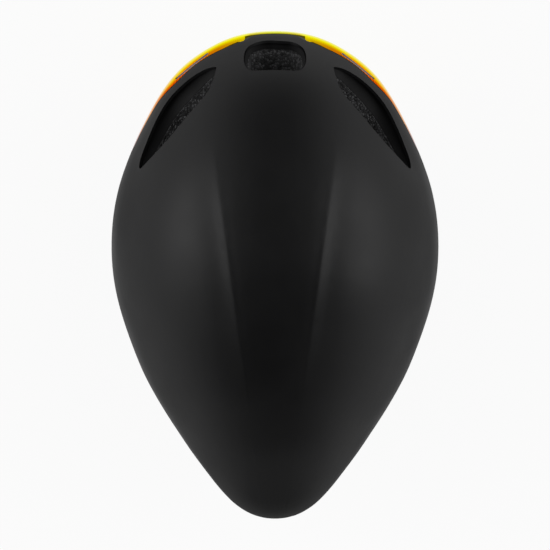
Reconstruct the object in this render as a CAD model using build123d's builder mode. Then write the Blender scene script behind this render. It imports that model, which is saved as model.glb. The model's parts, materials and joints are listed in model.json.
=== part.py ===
from build123d import *
from bisect import bisect_right
from math import atan2, cos, pi, radians, sin, sqrt
import os

import numpy as np

# An aero time trial helmet. A matte shell with a raised spine and three intakes covers a foam
# liner, a mirrored visor is held in the face opening by magnets, and inside are a cradle
# tightened by a dial, its bands, pads and a chin strap with a sliding buckle.
# The front faces -Y, the tail +Y and +Z is up. The ear flaps stand on Z = 0, below the middle
# of the helmet. Left and right are the wearer's, so left is +X. All sizes are in millimetres.

# Overall form
SHELL_LENGTH = 341.0
HALF_WIDTH = 114.5
CROWN_HEIGHT = 190.0
SIDE_EXPONENT = 2.15
FRONT_Y = -SHELL_LENGTH / 2
FAN_Y = -22.0
FAN_Z = -40.0
SIDE_LIMIT = radians(74)
FIRST_FAN = radians(24)
LAST_FAN = radians(168)
FINE_STEPS = 288
HALVINGS = 36
SEARCH_STEP = 0.1
ROW_COUNT = 40
TURN_LENGTH = 60.0
CUT_REACH = 2 * SHELL_LENGTH

# Walls and clearances
SHELL_WALL = 2.0
LENS_WALL = 2.2
DUCT_WALL = 1.6
SEAT_GAP = 0.3
RUNNING_GAP = 0.05
OVERRUN = 1.0

# Raised spine of the shell
SPINE_HEIGHT = 1.7
SPINE_HALF_WIDTH = 42.0
SPINE_WIDE_Y = -81.0
SPINE_TAPER = 0.136
SPINE_FRONT_Y = -98.0
SPINE_REAR_Y = 84.0
SPINE_BLEND = 10.0
SPINE_FADE_POWER = 1.3

# Face opening and rim, seen from the side
BROW_Z = 84.5
TEMPLE_Y = -85.0
TEMPLE_Z = 74.0
TEMPLE_RADIUS = 18.0
FLAP_FRONT_Y = -78.0
FLAP_REAR_Y = 12.0
FLAP_RADIUS = 14.0
NECK_Y = 62.0
NECK_Z = 44.0
NECK_RADIUS = 24.0
TAIL_RIM_Z = 60.0
LINER_STEP = 1.2

# Room for the head
HEAD_Y = -33.0
HEAD_Z = 54.0
HEAD_RADIUS = 104.0
HEAD_HALF_WIDTH = 80.0
CHANNEL_DEPTH = 9.0
CHANNEL_WIDTH = 14.0
CHANNEL_SPACING = 34.0
CHANNEL_LOW_Z = 98.0

# Underpan of the tail and its exhaust slots
PAN_WALL = 2.0
PAN_FRONT_STEP = 5.0
SLOT_LENGTH = 26.0
SLOT_WIDTH = 4.5
SLOT_PITCH = 7.5
SLOT_COUNT = 4
EXHAUST_X = 30.0
EXHAUST_REACH = 42.0
EXHAUST_LENGTH = 74.0
EXHAUST_MARGIN = 3.0
EXHAUST_LEAN = radians(45)

# Intakes: the front one faces forward, the side ones lie on the flanks
FRONT_VENT_FAN = radians(129.8)
FRONT_VENT_WIDTH = 43.0
FRONT_VENT_HEIGHT = 41.7
SIDE_VENT_FAN = radians(119.7)
SIDE_VENT_SIDE = radians(21.2)
SIDE_VENT_LENGTH = 88.0
SIDE_VENT_HEIGHT = 40.0
SIDE_VENT_SINK = 2.5
VENT_ABOVE = 12.0
VENT_LIP = 2.0
FRONT_RING_DEPTH = 7.0
FRONT_THROAT_SHRINK = 3.5
SIDE_RING_DEPTH = 9.0
SIDE_THROAT_SHRINK = 4.5
TUNNEL_SHRINK = 13.5
TUNNEL_DEPTH = 48.0

# Visor
LENS_GAP = 1.4
GASKET_WIDTH = 1.1
GASKET_SINK = 0.5
LENS_LOW_Z = 14.0
LENS_LOW_Y = -118.0
LENS_FRONT_LOW_Z = 22.0
LENS_REAR_LOW_Z = 30.0
LENS_LINE_REAR_Z = 38.5
LENS_LINE_FRONT_Y = -222.0
LENS_CORNER_RADIUS = 9.0
LENS_FAN = radians(105)
NOSE_HALF_WIDTH = 25.0
NOSE_TOP_Z = 42.0
NOSE_RADIUS = 18.0
NOSE_DEPTH = 60.0
TIP_NOTCH_HALF_WIDTH = 21.0
LENS_SLOT_LENGTH = 29.0
LENS_SLOT_WIDTH = 1.2
LENS_SLOT_X = 58.0
LENS_SLOT_STEP = 1.4
LENS_SLOT_TURN = 38.5
LENS_SLOT_DEPTH = 25.6
FRAME_WALL = 2.0
FRAME_ABOVE = 8.0
FRAME_BELOW = 6.0
MAGNET_RADIUS = 3.0
MAGNET_SPACING = 44.0
MAGNET_DROP = 4.6
LENS_MAGNET_LENGTH = 5.0
FRAME_MAGNET_LENGTH = 2.5

# Retention: a tilted cradle whose frame turns about the temples
PIVOT_Y = -60.0
PIVOT_Z = 60.0
CRADLE_TILT = radians(17)
BAND_THICKNESS = 1.8
BAND_HEIGHT = 11.0
BAND_HALF_WIDTH = 74.5
BAND_DEPTH = 121.0
BAND_STRAIGHT = 29.0
BAND_TRAVEL = 10.0
PIN_RADIUS = 3.0
PIN_LENGTH = 17.6
ANCHOR_RADIUS = 6.0
ANCHOR_FACE_X = 77.2
ANCHOR_LENGTH = 18.0
ANCHOR_FLOOR = 1.6
RACK_MODULE = 1.0
PINION_TEETH = 8
RACK_TOP = 8.6
RACK_AFTER = 7.9
TOOTH_HEIGHT = 0.85
TOOTH_ROOT = 1.1
TOOTH_BACKLASH = 0.2
CRADLE_HALF_WIDTH = 18.5
CRADLE_HALF_HEIGHT = 12.0
CRADLE_WALL = 2.2
CRADLE_RADIUS = 5.0
DIAL_RADIUS = 13.0
DIAL_LENGTH = 8.0
DIAL_GRIPS = 16
DIAL_GRIP_RADIUS = 1.3
DIAL_CORE_RADIUS = 10.5
SHAFT_RADIUS = 3.0
SHAFT_SEAT = 5.0
SCREW_RADIUS = 1.5
SCREW_HEAD_RADIUS = 2.8
SCREW_HEAD = 1.6
HANGER_WIDTH = 14.0
HANGER_THICKNESS = 1.6
HANGER_START = 5.8
HANGER_END = 36.5
GUIDE_START = 31.0
GUIDE_END = 34.5
GUIDE_HALF_WIDTH = 11.0
GUIDE_INNER = 2.6

# Pads
PAD_THICKNESS = 6.0
BROW_PAD_LENGTH = 118.0
BROW_PAD_HEIGHT = 17.0
BROW_PAD_FAN = radians(156)
CROWN_PAD_LENGTH = 92.0
CROWN_PAD_WIDTH = 17.0
CROWN_PAD_LEAN = radians(12)
SIDE_PAD_LENGTH = 66.0
SIDE_PAD_HEIGHT = 20.0
SIDE_PAD_LEAN = radians(62)
NAPE_PAD_LENGTH = 13.5
NAPE_PAD_HEIGHT = 20.0
NAPE_PAD_X = 10.6
NAPE_PAD_THICKNESS = 5.0

# Straps and buckle
STRAP_WIDTH = 15.0
STRAP_THICKNESS = 1.2
STRAP_STANDOFF = 0.5
BUTTON_RADIUS = 9.0
BUTTON_THICKNESS = 4.0
FRONT_BUTTON_Y = -64.0
FRONT_BUTTON_Z = 26.0
REAR_BUTTON_Y = 6.0
REAR_BUTTON_Z = 17.0
DIVIDER_X = 56.0
DIVIDER_Y = -30.0
DIVIDER_Z = 9.0
DIVIDER_LENGTH = 26.0
DIVIDER_HEIGHT = 14.0
DIVIDER_THICKNESS = 4.0
BUCKLE_LENGTH = 30.0
BUCKLE_OVERLAP = 20.0
BUCKLE_WIDTH = 24.0
BUCKLE_PLATE = 3.4
BUCKLE_LOW_Z = 0.4
RAIL_WIDTH = 8.0
RAIL_HEIGHT = 1.6
BUCKLE_MAGNET_RADIUS = 2.5
BUCKLE_MAGNET_LENGTH = 1.2
HUMP_HEIGHT = 11.0

# Share of a pad's width that its corners are rounded by
pad_corner_share = 0.42

# Share of the form's inside that stays hollow round the fan's centre, and of its length that
# a slope is measured over
core_share = 0.15
probe_share = 1e-4
least_slope_share = 0.3

# Shares of the bands' half width and depth that their line passes through
band_line_shares = ((1, 0), (0.955, 0.36), (0.76, 0.72), (0.57, 0.925))

# Shares of a tooth's height that its flanks spread by
rack_flank_share = 0.36
pinion_root_share = 0.3
pinion_tip_share = 0.55

# How far each intake's tunnel slides along its plane, as a share of its depth
front_slide_shares = (0, 0.45)
side_slide_shares = (0.25, -0.3)

# Shares of the length, from front to tail, each with a share of the width or height there
width_shares = ((0, 1.22), (0.02, 1.135), (0.06, 1.087), (0.13, 1.042), (0.19, 1.02), (0.33, 1.022),
                (0.43, 1.009), (0.54, 0.972), (0.63, 0.92), (0.725, 0.86), (0.82, 0.775),
                (0.88, 0.727), (0.94, 0.698), (1, 0.74))
rise_shares = ((0, 0.827), (0.1, 0.778), (0.35, 0.726), (0.5, 0.685), (0.63, 0.619), (0.725, 0.559),
               (0.82, 0.468), (0.88, 0.395), (0.94, 0.3), (1, 0.209))
middle_shares = ((0, 0.305), (0.35, 0.29), (0.6, 0.3), (0.8, 0.335), (0.94, 0.38), (1, 0.4))
depth_shares = ((0, 0.487), (0.1, 0.57), (0.35, 0.626), (0.5, 0.605), (0.63, 0.52), (0.725, 0.46),
                (0.82, 0.44), (0.88, 0.44), (0.94, 0.46), (1, 0.5))

# Shares of the length and height that the face opening's upper edge passes through, from the
# shell's tip in the middle over an arch and down a step towards the temple, with rounding shares
brow_shares = ((0.0091, 0.4447, 0.013), (0.0202, 0.5042, 0.016), (0.0366, 0.5263, 0.026),
               (0.107, 0.5168, 0.042), (0.148, 0.44, 0.074))

# Shares of the way from the middle to the spine's edge, and from there to the lowest point
spine_column_shares = (0, 0.32, 0.6, 0.82, 0.94, 1)
flank_column_shares = (0.015, 0.035, 0.065, 0.1, 0.16, 0.25, 0.36, 0.48, 0.6, 0.72, 0.84, 0.93, 1)
nominal_spine_share = 0.17


# Smooth curves through tables of shares
class SmoothTable:
    # A natural cubic curve through a table's points
    def __init__(self, table):
        self.places = [place for place, value in table]
        self.values = [value for place, value in table]
        count = len(table)
        gaps = [b - a for a, b in zip(self.places, self.places[1:])]
        rises = [(b - a) / gap for a, b, gap in zip(self.values, self.values[1:], gaps)]
        matrix = np.eye(count)
        bending = np.zeros(count)
        for row in range(1, count - 1):
            matrix[row, row - 1:row + 2] = gaps[row - 1], 2 * (gaps[row - 1] + gaps[row]), gaps[row]
            bending[row] = 6 * (rises[row] - rises[row - 1])
        self.bends = [float(bend) for bend in np.linalg.solve(matrix, bending)]

    def __call__(self, place):
        index = min(max(bisect_right(self.places, place) - 1, 0), len(self.places) - 2)
        gap = self.places[index + 1] - self.places[index]
        ahead = (place - self.places[index]) / gap
        behind = 1 - ahead
        bend = (behind**3 - behind) * self.bends[index] + (ahead**3 - ahead) * self.bends[index + 1]
        return behind * self.values[index] + ahead * self.values[index + 1] + bend * gap**2 / 6


width_curve = SmoothTable(width_shares)
rise_curve = SmoothTable(rise_shares)
middle_curve = SmoothTable(middle_shares)
depth_curve = SmoothTable(depth_shares)


# The outer form: at each place along Y an oval whose upper and lower halves differ in height
def oval_at(y):
    share = min(max((y - FRONT_Y) / SHELL_LENGTH, 0), 1)
    end = 2 * sqrt(share * (1 - share))
    return (HALF_WIDTH * width_curve(share) * end, CROWN_HEIGHT * middle_curve(share),
            CROWN_HEIGHT * rise_curve(share) * end, CROWN_HEIGHT * depth_curve(share) * end)


def outside(point):
    # Below zero inside the form, zero on it
    width, middle, rise, depth = oval_at(point.Y)
    height = rise if point.Z > middle else depth
    if width <= 0 or height <= 0:
        return 1.0
    return (abs(point.X) / width)**SIDE_EXPONENT + (abs(point.Z - middle) / height)**SIDE_EXPONENT - 1


FAN_CENTRE = Vector(0, FAN_Y, FAN_Z)


def surface_point(fan, side):
    # Where the ray at these two angles from the fan's centre leaves the form
    ray = Vector(sin(side), cos(side) * cos(fan), cos(side) * sin(fan))
    near = 0.0
    far = SHELL_LENGTH
    for step in range(HALVINGS):
        middle = (near + far) / 2
        if outside(FAN_CENTRE + ray * middle) < 0:
            near = middle
        else:
            far = middle
    return FAN_CENTRE + ray * near


def normal_at(point):
    # The outward direction of the form at a point on it
    reach = SHELL_LENGTH * probe_share
    slopes = [outside(point + step) - outside(point - step)
              for step in (Vector(reach, 0, 0), Vector(0, reach, 0), Vector(0, 0, reach))]
    return Vector(*slopes).normalized()


def inset_point(point, inset):
    # Moves a point inwards by a depth measured square to the form, along its own ray
    ray = (point - FAN_CENTRE).normalized()
    return point - ray * (inset / normal_at(point).dot(ray))


def spine_edge(y):
    return SPINE_HALF_WIDTH - SPINE_TAPER * (max(y, SPINE_WIDE_Y) - SPINE_WIDE_Y)


def spine_rise(point):
    # How far the spine stands out of the form: level inside its edge, a hollow slope outside
    along = (point.Y - SPINE_FRONT_Y) / (SPINE_REAR_Y - SPINE_FRONT_Y)
    if along <= 0 or along >= 1:
        return 0.0
    across = max(abs(point.X) - spine_edge(point.Y), 0) / SPINE_BLEND
    return SPINE_HEIGHT * sin(pi * along)**SPINE_FADE_POWER * max(1 - across, 0)**2


def spine_angle(fan):
    # The side angle at which a section of the fan crosses the spine's edge
    near = 0.0
    far = SIDE_LIMIT
    for step in range(HALVINGS):
        middle = (near + far) / 2
        point = surface_point(fan, middle)
        if point.X < spine_edge(point.Y):
            near = middle
        else:
            far = middle
    return near


def surface_row(fan):
    edge = spine_angle(fan)
    half = [edge * share for share in spine_column_shares]
    half += [edge + (SIDE_LIMIT - edge) * share for share in flank_column_shares]
    left = [surface_point(fan, side) for side in half]
    right = [Vector(-point.X, point.Y, point.Z) for point in reversed(left[1:])]
    return right + left


# The places of a section's points as shares of its length, the same in every section
half_column_shares = [nominal_spine_share * share for share in spine_column_shares]
half_column_shares += [nominal_spine_share + (1 - nominal_spine_share) * share
                       for share in flank_column_shares]
column_shares = [(1 - share) / 2 for share in reversed(half_column_shares[1:])]
column_shares += [(1 + share) / 2 for share in half_column_shares]


def fan_angles():
    # Spreads the sections evenly along the middle line, closer together where it turns
    fine = [FIRST_FAN + (LAST_FAN - FIRST_FAN) * step / FINE_STEPS for step in range(FINE_STEPS + 1)]
    line = [surface_point(fan, 0) for fan in fine]
    measure = [0.0]
    heading = 0.0
    for before, after in zip(line, line[1:]):
        last_heading = heading
        heading = atan2(after.Z - before.Z, after.Y - before.Y) % (2 * pi)
        turn = abs(heading - last_heading) if len(measure) > 1 else 0
        measure.append(measure[-1] + (after - before).length + TURN_LENGTH * turn)
    goals = [measure[-1] * row / (ROW_COUNT - 1) for row in range(ROW_COUNT)]
    return [float(fan) for fan in np.interp(goals, measure, fine)]


# Sections turn about a line across the helmet
rows = [(fan, surface_row(fan)) for fan in fan_angles()]


def section_face(fan, outer, inner):
    # A face in the plane of one section, between two lines of points
    plane = Plane(origin=FAN_CENTRE, x_dir=(1, 0, 0), z_dir=(0, -sin(fan), cos(fan)))
    outer_flat = [plane.to_local_coords(point) for point in outer]
    inner_flat = [plane.to_local_coords(point) for point in inner]
    with BuildSketch(plane) as section:
        with BuildLine():
            add(Edge.make_spline(outer_flat, parameters=column_shares))
            Line(outer_flat[-1], inner_flat[-1])
            add(Edge.make_spline(inner_flat, parameters=column_shares))
            Line(inner_flat[0], outer_flat[0])
        make_face()
    return section.sketch.faces()[0]


def skin(first_fan, outer_inset, inner_inset, spine=0):
    # A curved wall between two depths below the form, with its spine when that is 1
    sections = []
    for fan, row in rows:
        if fan < first_fan:
            continue
        outer = [inset_point(point, outer_inset - spine * spine_rise(point)) for point in row]
        inner = [inset_point(point, inner_inset) for point in row]
        sections.append(section_face(fan, outer, inner))
    with BuildPart() as wall:
        loft(sections=sections)
    return wall.part


def filled_form(inset):
    # The whole inside of the form below a depth, apart from a small core round the fan's centre
    sections = []
    for fan, row in rows:
        outer = [inset_point(point, inset) for point in row]
        inner = [FAN_CENTRE + (point - FAN_CENTRE) * core_share for point in row]
        sections.append(section_face(fan, outer, inner))
    with BuildPart() as solid:
        loft(sections=sections)
    return solid.part


# Shapes seen from the side, cut straight across the helmet
temple_corner = Vector(TEMPLE_Y, TEMPLE_Z)
brow_corners = [(Vector(FRONT_Y + back * SHELL_LENGTH, up * CROWN_HEIGHT), rounding * CROWN_HEIGHT)
                for back, up, rounding in brow_shares]


def brow_line_z(y):
    # The height of the face opening's upper edge
    corners = [corner for corner, radius in brow_corners] + [temple_corner]
    return float(np.interp(y, [corner.X for corner in corners], [corner.Y for corner in corners]))


def profile_prism(brow, step, pan_step):
    # What lies inside the rim, which moves inwards by a step, and by another under the tail. The
    # brow passes through the corners given, or runs straight where there are none
    front_z = TEMPLE_Z + (BROW_Z - TEMPLE_Z) * (SHELL_LENGTH + TEMPLE_Y) / (TEMPLE_Y - FRONT_Y)
    if brow:
        front_z = brow[0][0].Y
    pan_slope = (TAIL_RIM_Z - NECK_Z) / (-FRONT_Y - NECK_Y)
    temple = (TEMPLE_Y + step, TEMPLE_Z + step)
    flap_front = (FLAP_FRONT_Y + step, 0)
    flap_rear = (FLAP_REAR_Y - step, 0)
    neck = (NECK_Y, NECK_Z + pan_step)
    with BuildPart() as prism:
        with BuildSketch(Plane.YZ.offset(-SHELL_LENGTH)) as profile:
            with BuildLine():
                Polyline(temple, flap_front, flap_rear, neck,
                         (SHELL_LENGTH, neck[1] + pan_slope * (SHELL_LENGTH - NECK_Y)),
                         (SHELL_LENGTH, SHELL_LENGTH), (-SHELL_LENGTH, SHELL_LENGTH),
                         (-SHELL_LENGTH, front_z + step), *[corner for corner, radius in brow],
                         close=True)
            make_face()
            for corner, radius in ((temple, TEMPLE_RADIUS + step), (flap_front, FLAP_RADIUS - step),
                                   (flap_rear, FLAP_RADIUS - step), (neck, NECK_RADIUS + step), *brow):
                fillet(profile.vertices().sort_by_distance(corner)[0], radius=radius)
        extrude(amount=CUT_REACH)
    return prism.part


def moved_corners(corners, step):
    # The corners of a closed outline whose sides all move outwards by a step, each with the
    # amount that its rounding grows by
    moved = []
    for before, here, after in zip(corners[-1:] + corners[:-1], corners, corners[1:] + corners[:1]):
        first_way = (here - before).normalized()
        second_way = (after - here).normalized()
        first_out = Vector(first_way.Y, -first_way.X)
        second_out = Vector(second_way.Y, -second_way.X)
        growth = step if first_way.cross(second_way).Z > 0 else -step
        moved.append((here + (first_out + second_out) * (step / (1 + first_out.dot(second_out))), growth))
    return moved


def window_face(grow):
    # What lies in front of and below the edge of the face opening, grown by a step
    cheek = (FLAP_FRONT_Y - TEMPLE_Y) / TEMPLE_Z
    corners = [temple_corner] + [corner for corner, radius in reversed(brow_corners)]
    radii = [TEMPLE_RADIUS] + [radius for corner, radius in reversed(brow_corners)]
    corners += [Vector(-SHELL_LENGTH, corners[-1].Y), Vector(-SHELL_LENGTH, -SHELL_LENGTH),
                Vector(FLAP_FRONT_Y + cheek * SHELL_LENGTH, -SHELL_LENGTH)]
    moved = moved_corners(corners, grow)
    with BuildSketch() as window:
        with BuildLine():
            Polyline(*[corner for corner, growth in moved], close=True)
        make_face()
        for (corner, growth), radius in zip(moved, radii):
            if radius + growth > 0:
                fillet(window.vertices().sort_by_distance(corner)[0], radius=radius + growth)
    return window.sketch


def window_band(grow, inner_grow, low_z):
    # A strip along the edge of the face opening, above a height
    with BuildPart() as band:
        with BuildSketch(Plane.YZ.offset(-SHELL_LENGTH)):
            add(window_face(grow))
            if inner_grow is not None:
                add(window_face(inner_grow), mode=Mode.SUBTRACT)
            with Locations((0, low_z)):
                Rectangle(CUT_REACH, CUT_REACH, align=(Align.CENTER, Align.MIN), mode=Mode.INTERSECT)
        extrude(amount=CUT_REACH)
    return band.part


# The head's room: a round form about a line across the helmet, open downwards
def head_form(grow):
    centre = Plane(origin=(0, HEAD_Y, HEAD_Z))
    half_width = HEAD_HALF_WIDTH + grow
    radius = HEAD_RADIUS + grow
    with BuildPart() as head:
        with BuildSketch(centre):
            Ellipse(half_width, radius)
            Rectangle(2 * half_width + OVERRUN, radius + OVERRUN, align=(Align.CENTER, Align.MAX),
                      mode=Mode.SUBTRACT)
        revolve(axis=Axis((0, HEAD_Y, HEAD_Z), (1, 0, 0)))
        with BuildSketch(centre):
            Ellipse(half_width, radius)
        extrude(amount=-2 * HEAD_Z)
    return head.part


# The intakes
front_outline_shares = ((0, -0.5), (0.27, -0.47), (0.43, -0.31), (0.5, -0.02), (0.49, 0.28),
                        (0.41, 0.45), (0.22, 0.5), (0, 0.5), (-0.22, 0.5), (-0.41, 0.45),
                        (-0.49, 0.28), (-0.5, -0.02), (-0.43, -0.31), (-0.27, -0.47))
side_outline_shares = ((-0.5, -0.06), (-0.42, -0.29), (-0.305, -0.475), (-0.14, -0.52), (0.1, -0.47),
                       (0.3, -0.31), (0.43, -0.12), (0.5, 0.08), (0.46, 0.19), (0.35, 0.28),
                       (0.2, 0.38), (-0.02, 0.46), (-0.2, 0.36), (-0.4, 0.18), (-0.48, 0.05))
# The side intake faces out, forward and up, and its length runs back along the flank
SIDE_VENT_FACING = Vector(-0.74, -0.51, 0.436).normalized()
SIDE_VENT_ALONG = Vector(-0.578, 0.816, -0.024)

front_vent_point = surface_point(FRONT_VENT_FAN, 0)
front_vent_plane = Plane(origin=front_vent_point, x_dir=(1, 0, 0), z_dir=normal_at(front_vent_point))
side_vent_point = surface_point(SIDE_VENT_FAN, -SIDE_VENT_SIDE)
side_vent_plane = Plane(origin=side_vent_point - SIDE_VENT_FACING * SIDE_VENT_SINK,
                        x_dir=SIDE_VENT_ALONG, z_dir=SIDE_VENT_FACING)

# Each intake's plane, outline, length, height, how its tunnel slides as it goes in, and the depth
# of its ring with the amount that the ring narrows by
front_vent = (front_vent_plane, front_outline_shares, FRONT_VENT_WIDTH, FRONT_VENT_HEIGHT,
              front_slide_shares, FRONT_RING_DEPTH, FRONT_THROAT_SHRINK)
side_vent = (side_vent_plane, side_outline_shares, SIDE_VENT_LENGTH, SIDE_VENT_HEIGHT,
             side_slide_shares, SIDE_RING_DEPTH, SIDE_THROAT_SHRINK)


def vent_solid(vent, levels):
    # The space inside an intake, lofted through its outline at several depths, each grown by a step
    plane, outline, length, height, slide = vent[:5]
    with BuildPart() as space:
        for depth, grow in levels:
            inner = max(depth - VENT_LIP, 0)
            shift = (slide[0] * inner, slide[1] * inner)
            with BuildSketch(plane.offset(-depth)):
                with BuildLine():
                    Spline(*[(x * (length + 2 * grow) + shift[0], y * (height + 2 * grow) + shift[1])
                             for x, y in outline], periodic=True)
                make_face()
        loft()
    return space.part


def vent_mouth(vent):
    # The hole through the shell
    return vent_solid(vent, ((-VENT_ABOVE, 0), (VENT_ABOVE, 0)))


def vent_ring(vent, grow, floor):
    # The tapering inside of the smooth ring below the hole
    ring_depth, shrink = vent[5:]
    levels = ((-VENT_ABOVE, grow + SEAT_GAP), (VENT_LIP, grow + SEAT_GAP),
              (ring_depth + floor, grow - shrink))
    return vent_solid(vent, levels)


def vent_tunnel(vent):
    # The way on through the foam to the head's room
    ring_depth, shrink = vent[5:]
    levels = ((ring_depth - OVERRUN, -shrink), (ring_depth + OVERRUN, -shrink),
              (TUNNEL_DEPTH, -TUNNEL_SHRINK))
    return vent_solid(vent, levels)


def vent_duct(vent, inner_form):
    with BuildPart() as duct:
        add(vent_ring(vent, DUCT_WALL, 0))
        add(vent_ring(vent, 0, OVERRUN), mode=Mode.SUBTRACT)
        add(inner_form, mode=Mode.INTERSECT)
    return duct.part


def mirrored(solid):
    with BuildPart() as copy:
        add(mirror(solid, about=Plane.YZ))
    return copy.part


# The visor, its frame and its magnets
def lens_profile():
    # The visor seen from the side: inside the face opening and above its lower edge
    low_line = ((0, LENS_LINE_REAR_Z), (TEMPLE_Y, LENS_REAR_LOW_Z), (LENS_LOW_Y, LENS_LOW_Z),
                (FRONT_Y, LENS_FRONT_LOW_Z), (LENS_LINE_FRONT_Y, LENS_FRONT_LOW_Z))
    with BuildPart() as profile:
        with BuildSketch(Plane.YZ.offset(-SHELL_LENGTH)) as side:
            with BuildLine():
                Spline(*low_line)
                Polyline(low_line[-1], (low_line[-1][0], SHELL_LENGTH), (0, SHELL_LENGTH), low_line[0])
            make_face()
            add(window_face(-LENS_GAP), mode=Mode.INTERSECT)
            corner = side.vertices().sort_by_distance((FLAP_FRONT_Y, LENS_REAR_LOW_Z))[0]
            fillet(corner, radius=LENS_CORNER_RADIUS)
        extrude(amount=CUT_REACH)
    return profile.part


def brow_point(x):
    # Where the brow line meets the form at the front, at a distance from the middle
    y = FRONT_Y
    while outside(Vector(x, y, brow_line_z(y))) > 0:
        y += SEARCH_STEP
    return Vector(x, y, brow_line_z(y))


def make_lens(lens_skin):
    with BuildPart() as lens:
        add(lens_skin)
        add(lens_profile(), mode=Mode.INTERSECT)
        with BuildSketch(Plane.XZ.offset(-FRONT_Y - NOSE_DEPTH)) as nose:
            with Locations((0, NOSE_TOP_Z)):
                Rectangle(2 * NOSE_HALF_WIDTH, CROWN_HEIGHT, align=(Align.CENTER, Align.MAX))
            fillet(nose.vertices().group_by(Axis.Y)[-1], radius=NOSE_RADIUS)
        extrude(amount=2 * NOSE_DEPTH, mode=Mode.SUBTRACT)
        # Room for the shell's tip, so that the visor slides straight off
        with BuildSketch(Plane.XZ.offset(-FRONT_Y - NOSE_DEPTH)):
            with Locations((0, brow_corners[0][0].Y - LENS_GAP)):
                Rectangle(2 * TIP_NOTCH_HALF_WIDTH, CROWN_HEIGHT, align=(Align.CENTER, Align.MIN))
        extrude(amount=2 * NOSE_DEPTH, mode=Mode.SUBTRACT)
        brow = brow_point(LENS_SLOT_X)
        for side in (1, -1):
            slot_plane = Plane(origin=(side * brow.X, brow.Y - LENS_SLOT_STEP, brow.Z - LENS_SLOT_DEPTH),
                               x_dir=(cos(radians(LENS_SLOT_TURN)), side * sin(radians(LENS_SLOT_TURN)), 0))
            with BuildSketch(slot_plane):
                SlotOverall(LENS_SLOT_LENGTH, LENS_SLOT_WIDTH)
            extrude(amount=CROWN_HEIGHT, mode=Mode.SUBTRACT)
    return lens.part


def magnet_places():
    # Points on the form behind the visor's upper edge, in front of the brow
    places = []
    for x in (0, MAGNET_SPACING, -MAGNET_SPACING):
        z = brow_point(x).Z - MAGNET_DROP
        y = FRONT_Y
        while outside(Vector(x, y, z)) > 0:
            y += SEARCH_STEP
        places.append(Vector(x, y, z))
    return places


def pegs(radius, start, length):
    # Round rods along Y behind each magnet's place
    with BuildPart() as rods:
        for place in magnet_places():
            with BuildSketch(Plane(origin=place + Vector(0, start, 0), x_dir=(-1, 0, 0), z_dir=(0, 1, 0))):
                Circle(radius)
            extrude(amount=length)
    return rods.part


# Retention: local X runs across, local Y from the temples back to the dial, local Z upwards
CRADLE_BACK = Vector(0, cos(CRADLE_TILT), -sin(CRADLE_TILT))
CRADLE_UP = Vector(0, sin(CRADLE_TILT), cos(CRADLE_TILT))
PIVOT = Vector(0, PIVOT_Y, PIVOT_Z)
PITCH = pi * RACK_MODULE
PITCH_RADIUS = RACK_MODULE * PINION_TEETH / 2
PLATE_START = BAND_DEPTH - BAND_THICKNESS / 2 - SEAT_GAP - CRADLE_WALL
COVER_START = BAND_DEPTH + BAND_THICKNESS / 2 + SEAT_GAP
DIAL_START = COVER_START + CRADLE_WALL + SEAT_GAP


def cradle_level(height):
    # The plane of the bands, raised by a height
    return Plane(origin=PIVOT + CRADLE_UP * height, x_dir=(1, 0, 0), z_dir=CRADLE_UP)


def cradle_wall(depth):
    # A plane across the cradle, seen from behind the dial, at a depth behind the temples
    return Plane(origin=PIVOT + CRADLE_BACK * depth, x_dir=(-1, 0, 0), z_dir=CRADLE_BACK)


strip_place_shares = (0, 0.14, 0.28, 0.42, 0.56, 0.7, 0.84, 1)


def strip_face(line, thickness, straight_end=None):
    # A bent strip of even thickness along a curve, with a straight stretch after it
    places = [(line @ share, line % share) for share in strip_place_shares]
    one_side = [place + Vector(-way.Y, way.X) * (thickness / 2) for place, way in places]
    other_side = [place - Vector(-way.Y, way.X) * (thickness / 2) for place, way in places]
    with BuildSketch() as strip:
        with BuildLine():
            Spline(*one_side, tangents=(line % 0, line % 1))
            Spline(*other_side, tangents=(line % 0, line % 1))
            Line(one_side[0], other_side[0])
            if straight_end:
                Polyline(one_side[-1], (straight_end, one_side[-1].Y), (straight_end, other_side[-1].Y),
                         other_side[-1])
            else:
                Line(one_side[-1], other_side[-1])
        make_face()
    return strip.sketch


def band_curve():
    # The bands' line from the right temple to the straight stretch inside the cradle
    places = [(-BAND_HALF_WIDTH * wide, BAND_DEPTH * deep) for wide, deep in band_line_shares]
    with BuildLine() as curve:
        Spline(*places, (-BAND_STRAIGHT, BAND_DEPTH), tangents=((0, 1), (1, 0)))
    return curve.line


def rack_outline():
    # The band seen along the dial's axis: a strip that rises to a rack above the pinion
    half = BAND_HEIGHT / 2
    root = PITCH_RADIUS + TOOTH_ROOT
    tip = PITCH_RADIUS - TOOTH_HEIGHT
    before = BAND_TRAVEL + RACK_AFTER
    points = [(-2 * BAND_HALF_WIDTH, -half), (-BAND_STRAIGHT, -half), (-before - RACK_MODULE, root)]
    first = 0.5 - int(before / PITCH)
    place = first * PITCH - PITCH / 2
    while place + PITCH / 2 + RACK_MODULE < RACK_AFTER:
        middle = place + PITCH / 2
        wide = PITCH / 4 + TOOTH_ROOT * rack_flank_share - TOOTH_BACKLASH
        narrow = PITCH / 4 - TOOTH_HEIGHT * rack_flank_share - TOOTH_BACKLASH
        points += [(middle - wide, root), (middle - narrow, tip), (middle + narrow, tip), (middle + wide, root)]
        place += PITCH
    points += [(RACK_AFTER, root), (RACK_AFTER, RACK_TOP), (-BAND_STRAIGHT, RACK_TOP),
               (-BAND_STRAIGHT - BAND_HEIGHT, half), (-2 * BAND_HALF_WIDTH, half)]
    return points


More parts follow.
